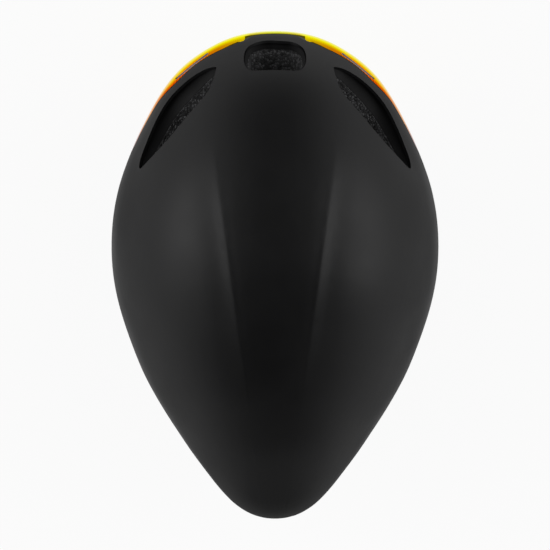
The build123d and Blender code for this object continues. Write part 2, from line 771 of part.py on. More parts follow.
def make_right_band():
    with BuildPart() as band:
        with BuildSketch(cradle_level(-RACK_TOP - OVERRUN)):
            add(strip_face(band_curve(), BAND_THICKNESS, RACK_AFTER))
        extrude(amount=2 * (RACK_TOP + OVERRUN))
        with BuildSketch(Plane(origin=PIVOT, x_dir=(1, 0, 0), z_dir=-CRADLE_BACK)):
            with BuildLine():
                Polyline(*rack_outline(), close=True)
            make_face()
        extrude(amount=-2 * BAND_DEPTH, mode=Mode.INTERSECT)
        pin_start = BAND_HALF_WIDTH
        with BuildSketch(Plane(origin=PIVOT - Vector(pin_start, 0, 0), x_dir=(0, 1, 0), z_dir=(-1, 0, 0))):
            Circle(PIN_RADIUS)
        extrude(amount=PIN_LENGTH + BAND_THICKNESS / 2)
        with BuildSketch(Plane(origin=PIVOT - Vector(pin_start - BAND_THICKNESS / 2, 0, 0), x_dir=(0, 1, 0),
                               z_dir=(-1, 0, 0))):
            Circle(BAND_HEIGHT / 2)
        extrude(amount=BAND_THICKNESS)
    return band.part


def turned_half(solid):
    # The other band is the first one turned half round about the dial's axis
    with BuildPart() as copy:
        add(solid.rotate(Axis(PIVOT, CRADLE_BACK), 180))
    return copy.part


def make_right_anchor():
    with BuildPart() as anchor:
        with BuildSketch(Plane(origin=PIVOT - Vector(ANCHOR_FACE_X, 0, 0), x_dir=(0, 1, 0), z_dir=(-1, 0, 0))):
            Circle(ANCHOR_RADIUS)
        extrude(amount=ANCHOR_LENGTH)
        with BuildSketch(Plane(origin=PIVOT - Vector(ANCHOR_FACE_X, 0, 0), x_dir=(0, 1, 0), z_dir=(-1, 0, 0))):
            Circle(PIN_RADIUS + RUNNING_GAP)
        extrude(amount=ANCHOR_LENGTH - ANCHOR_FLOOR, mode=Mode.SUBTRACT)
    return anchor.part


def make_pinion():
    # Eight straight sided teeth and a shaft that runs out to the knob
    outer = PITCH_RADIUS + TOOTH_HEIGHT
    root = PITCH_RADIUS - TOOTH_ROOT
    wide = PITCH / 4 + TOOTH_ROOT * pinion_root_share - TOOTH_BACKLASH
    narrow = PITCH / 4 - TOOTH_HEIGHT * pinion_tip_share - TOOTH_BACKLASH
    with BuildPart() as pinion:
        with BuildSketch(cradle_wall(BAND_DEPTH - BAND_THICKNESS / 2)):
            Circle(root)
            with PolarLocations(0, PINION_TEETH, start_angle=90):
                Polygon((0, -wide), (root, -wide), (PITCH_RADIUS, -PITCH / 4 + TOOTH_BACKLASH),
                        (outer, -narrow), (outer, narrow), (PITCH_RADIUS, PITCH / 4 - TOOTH_BACKLASH),
                        (root, wide), (0, wide), align=None)
        extrude(amount=BAND_THICKNESS)
        with BuildSketch(cradle_wall(BAND_DEPTH)):
            Circle(SHAFT_RADIUS - OVERRUN / 2)
        extrude(amount=DIAL_START + SHAFT_SEAT - BAND_DEPTH)
        with BuildSketch(cradle_wall(DIAL_START + SHAFT_SEAT - 2 * SCREW_RADIUS)):
            Circle(SCREW_RADIUS)
        extrude(amount=2 * SCREW_RADIUS, mode=Mode.SUBTRACT)
    return pinion.part


def make_cradle():
    # The plate next to the head, with rails that guide the bands
    rail = CRADLE_HALF_HEIGHT - RACK_TOP - SEAT_GAP
    with BuildPart() as cradle:
        with BuildSketch(cradle_wall(PLATE_START)):
            RectangleRounded(2 * CRADLE_HALF_WIDTH, 2 * CRADLE_HALF_HEIGHT, CRADLE_RADIUS)
            Circle(SHAFT_RADIUS, mode=Mode.SUBTRACT)
        extrude(amount=CRADLE_WALL)
        with BuildSketch(cradle_wall(PLATE_START + CRADLE_WALL)) as rails:
            for side in (1, -1):
                with Locations((0, side * (CRADLE_HALF_HEIGHT - rail / 2))):
                    Rectangle(2 * (CRADLE_HALF_WIDTH - CRADLE_RADIUS), rail)
        extrude(amount=COVER_START - PLATE_START - CRADLE_WALL)
    return cradle.part


def make_cradle_cover():
    with BuildPart() as cover:
        with BuildSketch(cradle_wall(COVER_START)):
            RectangleRounded(2 * CRADLE_HALF_WIDTH, 2 * CRADLE_HALF_HEIGHT, CRADLE_RADIUS)
        extrude(amount=CRADLE_WALL)
        chamfer(cover.faces().sort_by(Axis((0, 0, 0), CRADLE_BACK))[-1].edges(), length=CRADLE_WALL / 3)
        with BuildSketch(cradle_wall(COVER_START)):
            Circle(SHAFT_RADIUS - OVERRUN / 2 + RUNNING_GAP)
        extrude(amount=CRADLE_WALL, mode=Mode.SUBTRACT)
    return cover.part


def make_dial_knob():
    # A hollow knob, scalloped round its rim, with a seat for the shaft and for its screw
    with BuildPart() as knob:
        with BuildSketch(cradle_wall(DIAL_START)):
            Circle(DIAL_CORE_RADIUS)
        extrude(amount=DIAL_LENGTH)
        chamfer(knob.faces().sort_by(Axis((0, 0, 0), CRADLE_BACK))[-1].edges(), length=OVERRUN)
        with BuildSketch(cradle_wall(DIAL_START)):
            Circle(SHAFT_RADIUS - OVERRUN / 2 + RUNNING_GAP)
        extrude(amount=SHAFT_SEAT + SEAT_GAP, mode=Mode.SUBTRACT)
        with BuildSketch(cradle_wall(DIAL_START)):
            Circle(SCREW_RADIUS + RUNNING_GAP)
        extrude(amount=DIAL_LENGTH, mode=Mode.SUBTRACT)
        with BuildSketch(cradle_wall(DIAL_START + DIAL_LENGTH - SCREW_HEAD)):
            Circle(SCREW_HEAD_RADIUS + SEAT_GAP)
        extrude(amount=SCREW_HEAD, mode=Mode.SUBTRACT)
    return knob.part


def make_dial_grip():
    # A rubber ring with round hollows for the fingers
    with BuildPart() as grip:
        with BuildSketch(cradle_wall(DIAL_START + RUNNING_GAP)):
            Circle(DIAL_RADIUS)
            with PolarLocations(DIAL_RADIUS + DIAL_GRIP_RADIUS / 3, DIAL_GRIPS):
                Circle(DIAL_GRIP_RADIUS, mode=Mode.SUBTRACT)
            Circle(DIAL_CORE_RADIUS + RUNNING_GAP, mode=Mode.SUBTRACT)
        extrude(amount=DIAL_LENGTH - 2 * OVERRUN)
    return grip.part


def make_dial_screw():
    with BuildPart() as screw:
        with BuildSketch(cradle_wall(DIAL_START + DIAL_LENGTH - SCREW_HEAD)):
            Circle(SCREW_HEAD_RADIUS)
        extrude(amount=SCREW_HEAD - SEAT_GAP)
        with BuildSketch(cradle_wall(DIAL_START + SHAFT_SEAT - 2 * SCREW_RADIUS + SEAT_GAP)):
            Circle(SCREW_RADIUS - RUNNING_GAP)
        extrude(amount=DIAL_LENGTH - SCREW_HEAD - SHAFT_SEAT + 2 * SCREW_RADIUS - SEAT_GAP)
        with BuildSketch(cradle_wall(DIAL_START + DIAL_LENGTH - SEAT_GAP)):
            RegularPolygon(SCREW_RADIUS, 6)
        extrude(amount=-SCREW_HEAD / 2, mode=Mode.SUBTRACT)
    return screw.part


def arc_strip(inner, outer, start, end):
    # A strip bent about the temples, between two radii and two angles from the cradle's level
    with BuildSketch() as strip:
        with BuildLine():
            low = CenterArc((0, 0), inner, start, end - start)
            high = CenterArc((0, 0), outer, start, end - start)
            Line(low @ 0, high @ 0)
            Line(low @ 1, high @ 1)
        make_face()
    return strip.sketch


def side_of_cradle(x):
    # A plane along the cradle, seen from the side
    return Plane(origin=PIVOT + Vector(x, 0, 0), x_dir=CRADLE_BACK, z_dir=(1, 0, 0))


def make_hanger():
    # The strap that carries the cradle, and slides in the guide when the cradle tilts
    inner = PLATE_START
    with BuildPart() as hanger:
        with BuildSketch(side_of_cradle(-HANGER_WIDTH / 2)):
            add(arc_strip(inner, inner + HANGER_THICKNESS, HANGER_START, HANGER_END))
        extrude(amount=HANGER_WIDTH)
    return hanger.part


def make_hanger_guide():
    inner = PLATE_START
    with BuildPart() as guide:
        with BuildSketch(side_of_cradle(-GUIDE_HALF_WIDTH)):
            add(arc_strip(inner - GUIDE_INNER, inner + HANGER_WIDTH, GUIDE_START, GUIDE_END))
        extrude(amount=2 * GUIDE_HALF_WIDTH)
        add(head_form(-SEAT_GAP), mode=Mode.INTERSECT)
        with BuildSketch(side_of_cradle(-HANGER_WIDTH / 2 - SEAT_GAP)):
            add(arc_strip(inner - SEAT_GAP, inner + HANGER_THICKNESS + SEAT_GAP, GUIDE_START - OVERRUN,
                          GUIDE_END + OVERRUN))
        extrude(amount=HANGER_WIDTH + 2 * SEAT_GAP, mode=Mode.SUBTRACT)
    return guide.part


# Pads: curved cushions cut from the space just inside the liner
def make_pad(plane, length, width):
    with BuildPart() as pad:
        add(head_form(-SEAT_GAP))
        add(head_form(-SEAT_GAP - PAD_THICKNESS), mode=Mode.SUBTRACT)
        with BuildSketch(plane):
            RectangleRounded(length, width, min(length, width) * pad_corner_share)
        extrude(amount=HEAD_RADIUS + OVERRUN, mode=Mode.INTERSECT)
    return pad.part


def pad_plane(fan, lean):
    # A plane in the middle of the head's room that looks out towards a pad
    out = Vector(sin(lean), cos(lean) * cos(fan), cos(lean) * sin(fan))
    return Plane(origin=(0, HEAD_Y, HEAD_Z), x_dir=(0, -sin(fan), cos(fan)), z_dir=out)


def make_nape_pad():
    with BuildPart() as pad:
        start = PLATE_START - SEAT_GAP - NAPE_PAD_THICKNESS
        with BuildSketch(cradle_wall(start)):
            with Locations((NAPE_PAD_X, 0)):
                RectangleRounded(NAPE_PAD_LENGTH, NAPE_PAD_HEIGHT, NAPE_PAD_LENGTH / 3)
        extrude(amount=NAPE_PAD_THICKNESS)
        chamfer(pad.faces().sort_by(Axis((0, 0, 0), CRADLE_BACK))[0].edges(), length=NAPE_PAD_THICKNESS / 3)
    return pad.part


# Straps, their buttons and dividers, and the buckle
def wall_plane(y, z):
    # A plane on the right wall of the head's room, facing inwards
    across = sqrt(1 - ((y - HEAD_Y) / HEAD_RADIUS)**2)
    point = Vector(-HEAD_HALF_WIDTH * across, y, z)
    inwards = Vector(across / HEAD_HALF_WIDTH, -(y - HEAD_Y) / HEAD_RADIUS**2, 0).normalized()
    return Plane(origin=point, x_dir=(0, 0, 1), z_dir=inwards)


button_planes = (wall_plane(FRONT_BUTTON_Y, FRONT_BUTTON_Z), wall_plane(REAR_BUTTON_Y, REAR_BUTTON_Z))


def make_right_buttons(grow):
    with BuildPart() as buttons:
        for plane in button_planes:
            with BuildSketch(plane.offset(-BUTTON_THICKNESS - grow)):
                Circle(BUTTON_RADIUS + grow)
            extrude(amount=BUTTON_THICKNESS + grow)
    return buttons.part


def make_right_strap(plane, side):
    # A straight run of webbing from a button to the divider's front (-1) or rear (1) edge
    edge = DIVIDER_Y + side * (DIVIDER_LENGTH / 2 + SEAT_GAP)
    run = Vector(-DIVIDER_X, edge, DIVIDER_Z) - plane.origin
    upright = Vector(0, 0, 1) - run * (run.Z / run.length**2)
    with BuildPart() as strap:
        with BuildSketch(Plane(origin=plane.origin - run, x_dir=upright, z_dir=run)):
            Rectangle(STRAP_WIDTH, STRAP_THICKNESS)
        extrude(amount=3 * run.length)
        with BuildSketch(Plane(origin=(0, edge, 0), x_dir=(1, 0, 0), z_dir=(0, side, 0))):
            Rectangle(CUT_REACH, CUT_REACH)
        extrude(amount=CUT_REACH, mode=Mode.INTERSECT)
        with BuildSketch(plane.offset(STRAP_STANDOFF)):
            Rectangle(CUT_REACH, CUT_REACH)
        extrude(amount=CUT_REACH, mode=Mode.INTERSECT)
    return strap.part


def make_right_divider():
    with BuildPart() as divider:
        with BuildSketch(Plane.YZ.offset(-DIVIDER_X - DIVIDER_THICKNESS / 2)):
            with Locations((DIVIDER_Y, DIVIDER_Z)):
                RectangleRounded(DIVIDER_LENGTH, DIVIDER_HEIGHT, DIVIDER_HEIGHT / 4)
                with GridLocations(DIVIDER_LENGTH / 2, 0, 2, 1):
                    Rectangle(STRAP_THICKNESS + 2 * SEAT_GAP, DIVIDER_HEIGHT - DIVIDER_THICKNESS,
                              mode=Mode.SUBTRACT)
        extrude(amount=DIVIDER_THICKNESS)
    return divider.part


def make_right_chin_strap(end_z):
    # Webbing laid in a low hump from the divider to the buckle, whose middle is at a height
    start = (-DIVIDER_X + DIVIDER_THICKNESS / 2 + SEAT_GAP, DIVIDER_Z - DIVIDER_HEIGHT / 4)
    end = (BUCKLE_OVERLAP / 2 - BUCKLE_LENGTH - SEAT_GAP, end_z)
    with BuildLine() as hump:
        Spline(start, ((start[0] + end[0]) / 2, HUMP_HEIGHT), end, tangents=((1, 0), (1, 0)))
    with BuildPart() as strap:
        with BuildSketch(Plane(origin=(0, DIVIDER_Y + STRAP_WIDTH / 2, 0), x_dir=(1, 0, 0), z_dir=(0, -1, 0))):
            add(strip_face(hump.line, STRAP_THICKNESS))
        extrude(amount=STRAP_WIDTH)
    return strap.part


def make_buckle_socket():
    # The lower half: a plate with a rail across it and a pocket for its magnet
    with BuildPart() as socket:
        with BuildSketch(Plane.XY.offset(BUCKLE_LOW_Z)):
            with Locations((BUCKLE_OVERLAP / 2, DIVIDER_Y)):
                Rectangle(BUCKLE_LENGTH, BUCKLE_WIDTH, align=(Align.MAX, Align.CENTER))
        extrude(amount=BUCKLE_PLATE)
        chamfer(socket.edges().filter_by(Axis.Z), length=BUCKLE_PLATE / 2)
        with BuildSketch(Plane.XY.offset(BUCKLE_LOW_Z + BUCKLE_PLATE)):
            with Locations((0, DIVIDER_Y)):
                Rectangle(RAIL_WIDTH, BUCKLE_WIDTH)
        extrude(amount=RAIL_HEIGHT)
        with BuildSketch(Plane.XY.offset(BUCKLE_LOW_Z + BUCKLE_PLATE + RAIL_HEIGHT)):
            with Locations((0, DIVIDER_Y)):
                Circle(BUCKLE_MAGNET_RADIUS + RUNNING_GAP)
        extrude(amount=-BUCKLE_MAGNET_LENGTH - RUNNING_GAP, mode=Mode.SUBTRACT)
    return socket.part


def make_buckle_plug():
    # The upper half slides off the rail towards the front
    low = BUCKLE_LOW_Z + BUCKLE_PLATE + SEAT_GAP
    roof = low + RAIL_HEIGHT
    with BuildPart() as plug:
        with BuildSketch(Plane.XY.offset(low)):
            with Locations((-BUCKLE_OVERLAP / 2, DIVIDER_Y)):
                Rectangle(BUCKLE_LENGTH, BUCKLE_WIDTH, align=(Align.MIN, Align.CENTER))
        extrude(amount=RAIL_HEIGHT + BUCKLE_PLATE)
        chamfer(plug.edges().filter_by(Axis.Z), length=BUCKLE_PLATE / 2)
        with BuildSketch(Plane.XY.offset(low)):
            with Locations((0, DIVIDER_Y)):
                Rectangle(RAIL_WIDTH + 2 * SEAT_GAP, BUCKLE_WIDTH)
        extrude(amount=RAIL_HEIGHT, mode=Mode.SUBTRACT)
        with BuildSketch(Plane.XY.offset(roof)):
            with Locations((0, DIVIDER_Y)):
                Circle(BUCKLE_MAGNET_RADIUS + RUNNING_GAP)
        extrude(amount=BUCKLE_MAGNET_LENGTH + RUNNING_GAP, mode=Mode.SUBTRACT)
    return plug.part


def make_buckle_magnet(low):
    with BuildPart() as magnet:
        with BuildSketch(Plane.XY.offset(low)):
            with Locations((0, DIVIDER_Y)):
                Circle(BUCKLE_MAGNET_RADIUS)
        extrude(amount=BUCKLE_MAGNET_LENGTH)
    return magnet.part


# Underpan: a flat plate across the tail's underside, with exhaust slots
PAN_SLOPE = atan2(TAIL_RIM_Z - NECK_Z, -FRONT_Y - NECK_Y)
pan_plane = Plane(origin=(0, NECK_Y, NECK_Z), x_dir=(1, 0, 0), z_dir=(0, -sin(PAN_SLOPE), cos(PAN_SLOPE)))
pan_place_shares = (-0.1, 0.1, 0.25, 0.4, 0.55, 0.7, 0.8, 0.88, 0.94, 0.975)


def form_half_width(along, inset):
    # Half the form's width in the pan's plane, less a depth measured square to the form
    y = NECK_Y + along * cos(PAN_SLOPE)
    z = NECK_Z + along * sin(PAN_SLOPE)
    width, middle, rise, depth = oval_at(y)
    if width <= 0 or abs(z - middle) >= depth:
        return 0.0
    inside = 1 - (abs(z - middle) / depth)**SIDE_EXPONENT
    point = Vector(width * inside**(1 / SIDE_EXPONENT), y, z)
    return max(point.X - inset / max(normal_at(point).X, least_slope_share), 0.0)


def pan_edge():
    # Half of the plate's edge in the pan's plane, from the neck to the tail's tip
    inset = SHELL_WALL + SEAT_GAP
    reach = (-FRONT_Y - NECK_Y) / cos(PAN_SLOPE)
    while form_half_width(reach, 0) == 0:
        reach -= SEARCH_STEP
    reach -= inset
    return [(form_half_width(reach * share, inset), reach * share) for share in pan_place_shares], reach


def make_underpan():
    edge, reach = pan_edge()
    with BuildPart() as pan:
        with BuildSketch(pan_plane):
            with BuildLine():
                Spline(*edge, (0, reach), *[(-x, y) for x, y in reversed(edge)])
                Line((-edge[0][0], edge[0][1]), edge[0])
            make_face()
            with Locations((0, PAN_FRONT_STEP)):
                Rectangle(CUT_REACH, CUT_REACH, align=(Align.CENTER, Align.MIN), mode=Mode.INTERSECT)
            for side in (1, -1):
                with Locations((side * EXHAUST_X, EXHAUST_REACH)):
                    with GridLocations(0, SLOT_PITCH, 1, SLOT_COUNT):
                        SlotOverall(SLOT_LENGTH, SLOT_WIDTH, mode=Mode.SUBTRACT)
        extrude(amount=PAN_WALL)
        with BuildSketch(Plane(origin=(0, HEAD_Y, 0))):
            Ellipse(HEAD_HALF_WIDTH + PAN_FRONT_STEP, HEAD_RADIUS + PAN_FRONT_STEP)
        extrude(amount=CROWN_HEIGHT, mode=Mode.SUBTRACT)
    return pan.part


def exhaust_tunnels():
    # From the pan's slots up and forward to the back of the head's room
    height = SLOT_PITCH * (SLOT_COUNT - 1) + SLOT_WIDTH + EXHAUST_MARGIN
    with BuildPart() as tunnels:
        with BuildSketch(pan_plane):
            with Locations((EXHAUST_X, EXHAUST_REACH), (-EXHAUST_X, EXHAUST_REACH)):
                RectangleRounded(SLOT_LENGTH + EXHAUST_MARGIN, height, SLOT_WIDTH)
        extrude(amount=EXHAUST_LENGTH, dir=(0, -sin(EXHAUST_LEAN), cos(EXHAUST_LEAN)))
    return tunnels.part


def air_channels():
    # Air channels along the inside of the liner
    with BuildPart() as channels:
        add(head_form(CHANNEL_DEPTH))
        with BuildSketch(Plane.XY.offset(CHANNEL_LOW_Z)):
            with Locations((0, HEAD_Y)):
                with GridLocations(CHANNEL_SPACING, 0, 3, 1):
                    Rectangle(CHANNEL_WIDTH, 3 * HEAD_RADIUS)
        extrude(amount=CROWN_HEIGHT, mode=Mode.INTERSECT)
    return channels.part


# Everything is put together here, each piece in its own file
os.makedirs("parts", exist_ok=True)


def save(name, solid):
    solid.label = name
    export_step(solid, "parts/" + name + ".step")


inner_form = filled_form(SHELL_WALL + SEAT_GAP)
side_mouth = vent_mouth(side_vent)
side_tunnel = vent_tunnel(side_vent)
side_pocket = vent_ring(side_vent, DUCT_WALL + SEAT_GAP, SEAT_GAP)

with BuildPart() as outer_shell:
    add(skin(0, 0, SHELL_WALL, 1))
    add(profile_prism(brow_corners, 0, 0), mode=Mode.INTERSECT)
    add(vent_mouth(front_vent), mode=Mode.SUBTRACT)
    add(side_mouth, mode=Mode.SUBTRACT)
    add(mirrored(side_mouth), mode=Mode.SUBTRACT)
save("outer_shell", outer_shell.part)

with BuildPart() as visor_lens:
    add(make_lens(skin(LENS_FAN, 0, LENS_WALL)))
save("visor_lens", visor_lens.part)

with BuildPart() as visor_gasket:
    add(skin(LENS_FAN, GASKET_SINK, SHELL_WALL))
    add(window_band(0, -GASKET_WIDTH, LENS_REAR_LOW_Z), mode=Mode.INTERSECT)
save("visor_gasket", visor_gasket.part)

frame_depth = LENS_WALL + SEAT_GAP
frame_pegs = pegs(MAGNET_RADIUS + 2 * RUNNING_GAP, -OVERRUN, FRAME_ABOVE + FRAME_BELOW)
with BuildPart() as visor_frame:
    add(skin(LENS_FAN, frame_depth, frame_depth + FRAME_WALL))
    add(window_band(FRAME_ABOVE, -FRAME_BELOW, LENS_REAR_LOW_Z), mode=Mode.INTERSECT)
    add(vent_ring(front_vent, DUCT_WALL + SEAT_GAP, SEAT_GAP), mode=Mode.SUBTRACT)
    add(frame_pegs, mode=Mode.SUBTRACT)
save("visor_frame", visor_frame.part)

# Magnet pegs behind the visor stand in the frame's sockets, with their partners in the foam
with BuildPart() as lens_magnets:
    add(pegs(MAGNET_RADIUS, -OVERRUN, LENS_MAGNET_LENGTH + OVERRUN))
    add(skin(LENS_FAN, LENS_WALL + RUNNING_GAP, 2 * FRAME_ABOVE), mode=Mode.INTERSECT)
save("lens_magnets", lens_magnets.part)
save("frame_magnets", pegs(MAGNET_RADIUS, LENS_MAGNET_LENGTH + SEAT_GAP, FRAME_MAGNET_LENGTH))

with BuildPart() as frame_pocket:
    add(skin(LENS_FAN, SHELL_WALL, frame_depth + FRAME_WALL + SEAT_GAP))
    add(window_band(FRAME_ABOVE + SEAT_GAP, None, LENS_REAR_LOW_Z - SEAT_GAP), mode=Mode.INTERSECT)

with BuildPart() as foam_liner:
    add(inner_form)
    add(profile_prism([], LINER_STEP, PAN_WALL + SEAT_GAP), mode=Mode.INTERSECT)
    add(head_form(0), mode=Mode.SUBTRACT)
    add(air_channels(), mode=Mode.SUBTRACT)
    add(vent_ring(front_vent, DUCT_WALL + SEAT_GAP, SEAT_GAP), mode=Mode.SUBTRACT)
    add(vent_tunnel(front_vent), mode=Mode.SUBTRACT)
    add(side_pocket, mode=Mode.SUBTRACT)
    add(mirrored(side_pocket), mode=Mode.SUBTRACT)
    add(side_tunnel, mode=Mode.SUBTRACT)
    add(mirrored(side_tunnel), mode=Mode.SUBTRACT)
    add(exhaust_tunnels(), mode=Mode.SUBTRACT)
    add(frame_pocket.part, mode=Mode.SUBTRACT)
    add(pegs(MAGNET_RADIUS + 2 * RUNNING_GAP, 0, LENS_MAGNET_LENGTH + 2 * SEAT_GAP + FRAME_MAGNET_LENGTH),
        mode=Mode.SUBTRACT)
    right_pockets = make_right_buttons(SEAT_GAP)
    add(right_pockets, mode=Mode.SUBTRACT)
    add(mirrored(right_pockets), mode=Mode.SUBTRACT)
    for side in (1, -1):
        with BuildSketch(Plane(origin=(side * (HEAD_HALF_WIDTH - 2 * ANCHOR_RADIUS), PIVOT_Y, PIVOT_Z),
                               x_dir=(0, 1, 0), z_dir=(side, 0, 0))):
            Circle(ANCHOR_RADIUS + SEAT_GAP)
        extrude(amount=ANCHOR_FACE_X + ANCHOR_LENGTH + SEAT_GAP - HEAD_HALF_WIDTH + 2 * ANCHOR_RADIUS,
                mode=Mode.SUBTRACT)
save("foam_liner", foam_liner.part)

right_duct = vent_duct(side_vent, inner_form)
save("front_intake_ring", vent_duct(front_vent, inner_form))
save("right_intake_ring", right_duct)
save("left_intake_ring", mirrored(right_duct))
save("tail_underpan", make_underpan())

band = make_right_band()
save("right_band", band)
save("left_band", turned_half(band))
anchor = make_right_anchor()
save("right_temple_anchor", anchor)
save("left_temple_anchor", mirrored(anchor))
save("dial_pinion", make_pinion())
save("cradle", make_cradle())
save("cradle_cover", make_cradle_cover())
save("dial_knob", make_dial_knob())
save("dial_grip", make_dial_grip())
save("dial_screw", make_dial_screw())
save("hanger", make_hanger())
save("hanger_guide", make_hanger_guide())

save("brow_pad", make_pad(pad_plane(BROW_PAD_FAN, 0), BROW_PAD_HEIGHT, BROW_PAD_LENGTH))
crown_pad = make_pad(pad_plane(pi / 2, CROWN_PAD_LEAN), CROWN_PAD_LENGTH, CROWN_PAD_WIDTH)
side_pad = make_pad(pad_plane(pi / 2, SIDE_PAD_LEAN), SIDE_PAD_LENGTH, SIDE_PAD_HEIGHT)
nape_pad = make_nape_pad()
save("left_crown_pad", crown_pad)
save("right_crown_pad", mirrored(crown_pad))
save("left_side_pad", side_pad)
save("right_side_pad", mirrored(side_pad))
save("right_nape_pad", nape_pad)
save("left_nape_pad", mirrored(nape_pad))

buttons = make_right_buttons(0)
with BuildPart() as strap_buttons:
    add(buttons)
    add(mirrored(buttons))
save("strap_buttons", strap_buttons.part)
front_strap = make_right_strap(button_planes[0], -1)
rear_strap = make_right_strap(button_planes[1], 1)
divider = make_right_divider()
save("right_front_strap", front_strap)
save("left_front_strap", mirrored(front_strap))
save("right_rear_strap", rear_strap)
save("left_rear_strap", mirrored(rear_strap))
save("right_strap_divider", divider)
save("left_strap_divider", mirrored(divider))
save("right_chin_strap", make_right_chin_strap(BUCKLE_LOW_Z + BUCKLE_PLATE / 2))
plug_middle = BUCKLE_LOW_Z + BUCKLE_PLATE + SEAT_GAP + (RAIL_HEIGHT + BUCKLE_PLATE) / 2
save("left_chin_strap", mirrored(make_right_chin_strap(plug_middle)))
save("buckle_socket", make_buckle_socket())
save("buckle_plug", make_buckle_plug())
rail_top = BUCKLE_LOW_Z + BUCKLE_PLATE + RAIL_HEIGHT
save("socket_magnet", make_buckle_magnet(rail_top - BUCKLE_MAGNET_LENGTH))
save("plug_magnet", make_buckle_magnet(rail_top + SEAT_GAP))
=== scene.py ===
import json
import math
import random

import bmesh
import bpy
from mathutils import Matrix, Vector
from mathutils.bvhtree import BVHTree


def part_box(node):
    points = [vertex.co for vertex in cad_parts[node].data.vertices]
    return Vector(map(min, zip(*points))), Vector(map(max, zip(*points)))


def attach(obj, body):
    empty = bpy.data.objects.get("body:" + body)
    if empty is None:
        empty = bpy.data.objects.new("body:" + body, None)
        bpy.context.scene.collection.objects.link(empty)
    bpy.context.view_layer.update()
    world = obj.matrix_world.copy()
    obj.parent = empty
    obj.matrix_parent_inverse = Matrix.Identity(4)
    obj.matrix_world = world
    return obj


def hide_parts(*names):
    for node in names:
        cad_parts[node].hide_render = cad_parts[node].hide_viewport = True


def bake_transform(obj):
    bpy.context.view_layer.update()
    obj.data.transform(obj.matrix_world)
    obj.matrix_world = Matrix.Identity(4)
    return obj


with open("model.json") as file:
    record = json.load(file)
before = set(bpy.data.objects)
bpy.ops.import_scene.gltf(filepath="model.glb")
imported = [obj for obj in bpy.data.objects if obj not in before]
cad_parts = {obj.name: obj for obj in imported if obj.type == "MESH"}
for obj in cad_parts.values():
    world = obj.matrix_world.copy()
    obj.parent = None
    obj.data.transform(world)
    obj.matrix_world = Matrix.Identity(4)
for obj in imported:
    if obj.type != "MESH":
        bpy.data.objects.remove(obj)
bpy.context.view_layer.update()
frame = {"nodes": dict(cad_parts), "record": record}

nodes = frame["nodes"]
mm = 0.001
random.seed(17)


# Small helpers for node trees
def newMaterial(name):
    material = bpy.data.materials.new(name)
    material.use_nodes = True
    material.node_tree.nodes.clear()
    return material, material.node_tree


def addNode(tree, kind, inputs=None, **settings):
    made = tree.nodes.new(kind)
    for key, value in settings.items():
        setattr(made, key, value)
    for key, value in (inputs or {}).items():
        if isinstance(value, bpy.types.NodeSocket):
            tree.links.new(value, made.inputs[key])
        else:
            made.inputs[key].default_value = value
    return made


def doMath(tree, operation, first, second=0.5):
    return addNode(tree, "ShaderNodeMath", {0: first, 1: second}, operation=operation).outputs[0]


def remap(tree, value, low, high, newLow=0.0, newHigh=1.0, smooth=True):
    kind = "SMOOTHSTEP" if smooth else "LINEAR"
    ends = {"Value": value, "From Min": low, "From Max": high, "To Min": newLow, "To Max": newHigh}
    return addNode(tree, "ShaderNodeMapRange", ends, interpolation_type=kind).outputs[0]


def rampOf(tree, value, stops):
    ramp = addNode(tree, "ShaderNodeValToRGB", {"Fac": value})
    bands = ramp.color_ramp.elements
    while len(bands) < len(stops):
        bands.new(0.5)
    for band, (place, colour) in zip(bands, stops):
        band.position = place
        band.color = (*colour, 1)
    return ramp.outputs["Color"]


def mixColours(tree, share, first, second, blend="MIX"):
    mixed = addNode(tree, "ShaderNodeMix", data_type="RGBA", blend_type=blend, clamp_factor=True)
    for socket, value in ((mixed.inputs[0], share), (mixed.inputs[6], first), (mixed.inputs[7], second)):
        if isinstance(value, bpy.types.NodeSocket):
            tree.links.new(value, socket)
        elif isinstance(value, (int, float)):
            socket.default_value = value
        else:
            socket.default_value = (*value, 1)
    return mixed.outputs[2]


def objectPlace(tree):
    return addNode(tree, "ShaderNodeTexCoord").outputs["Object"]


def noiseOf(tree, place, scale, detail=2.0, roughness=0.5):
    return addNode(tree, "ShaderNodeTexNoise", {"Vector": place, "Scale": scale, "Detail": detail,
                                                "Roughness": roughness}).outputs["Fac"]


def bumpOf(tree, height, depth, strength=1.0, below=None):
    inputs = {"Height": height, "Distance": depth, "Strength": strength}
    if below is not None:
        inputs["Normal"] = below
    return addNode(tree, "ShaderNodeBump", inputs).outputs["Normal"]


def closeMaterial(tree, inputs):
    shader = addNode(tree, "ShaderNodeBsdfPrincipled", inputs)
    addNode(tree, "ShaderNodeOutputMaterial", {"Surface": shader.outputs[0]})


# The noise values between which a cloudy colour or roughness runs from one end to the other
mottleSpan = (0.35, 0.7)
roughSpan = (0.3, 0.7)


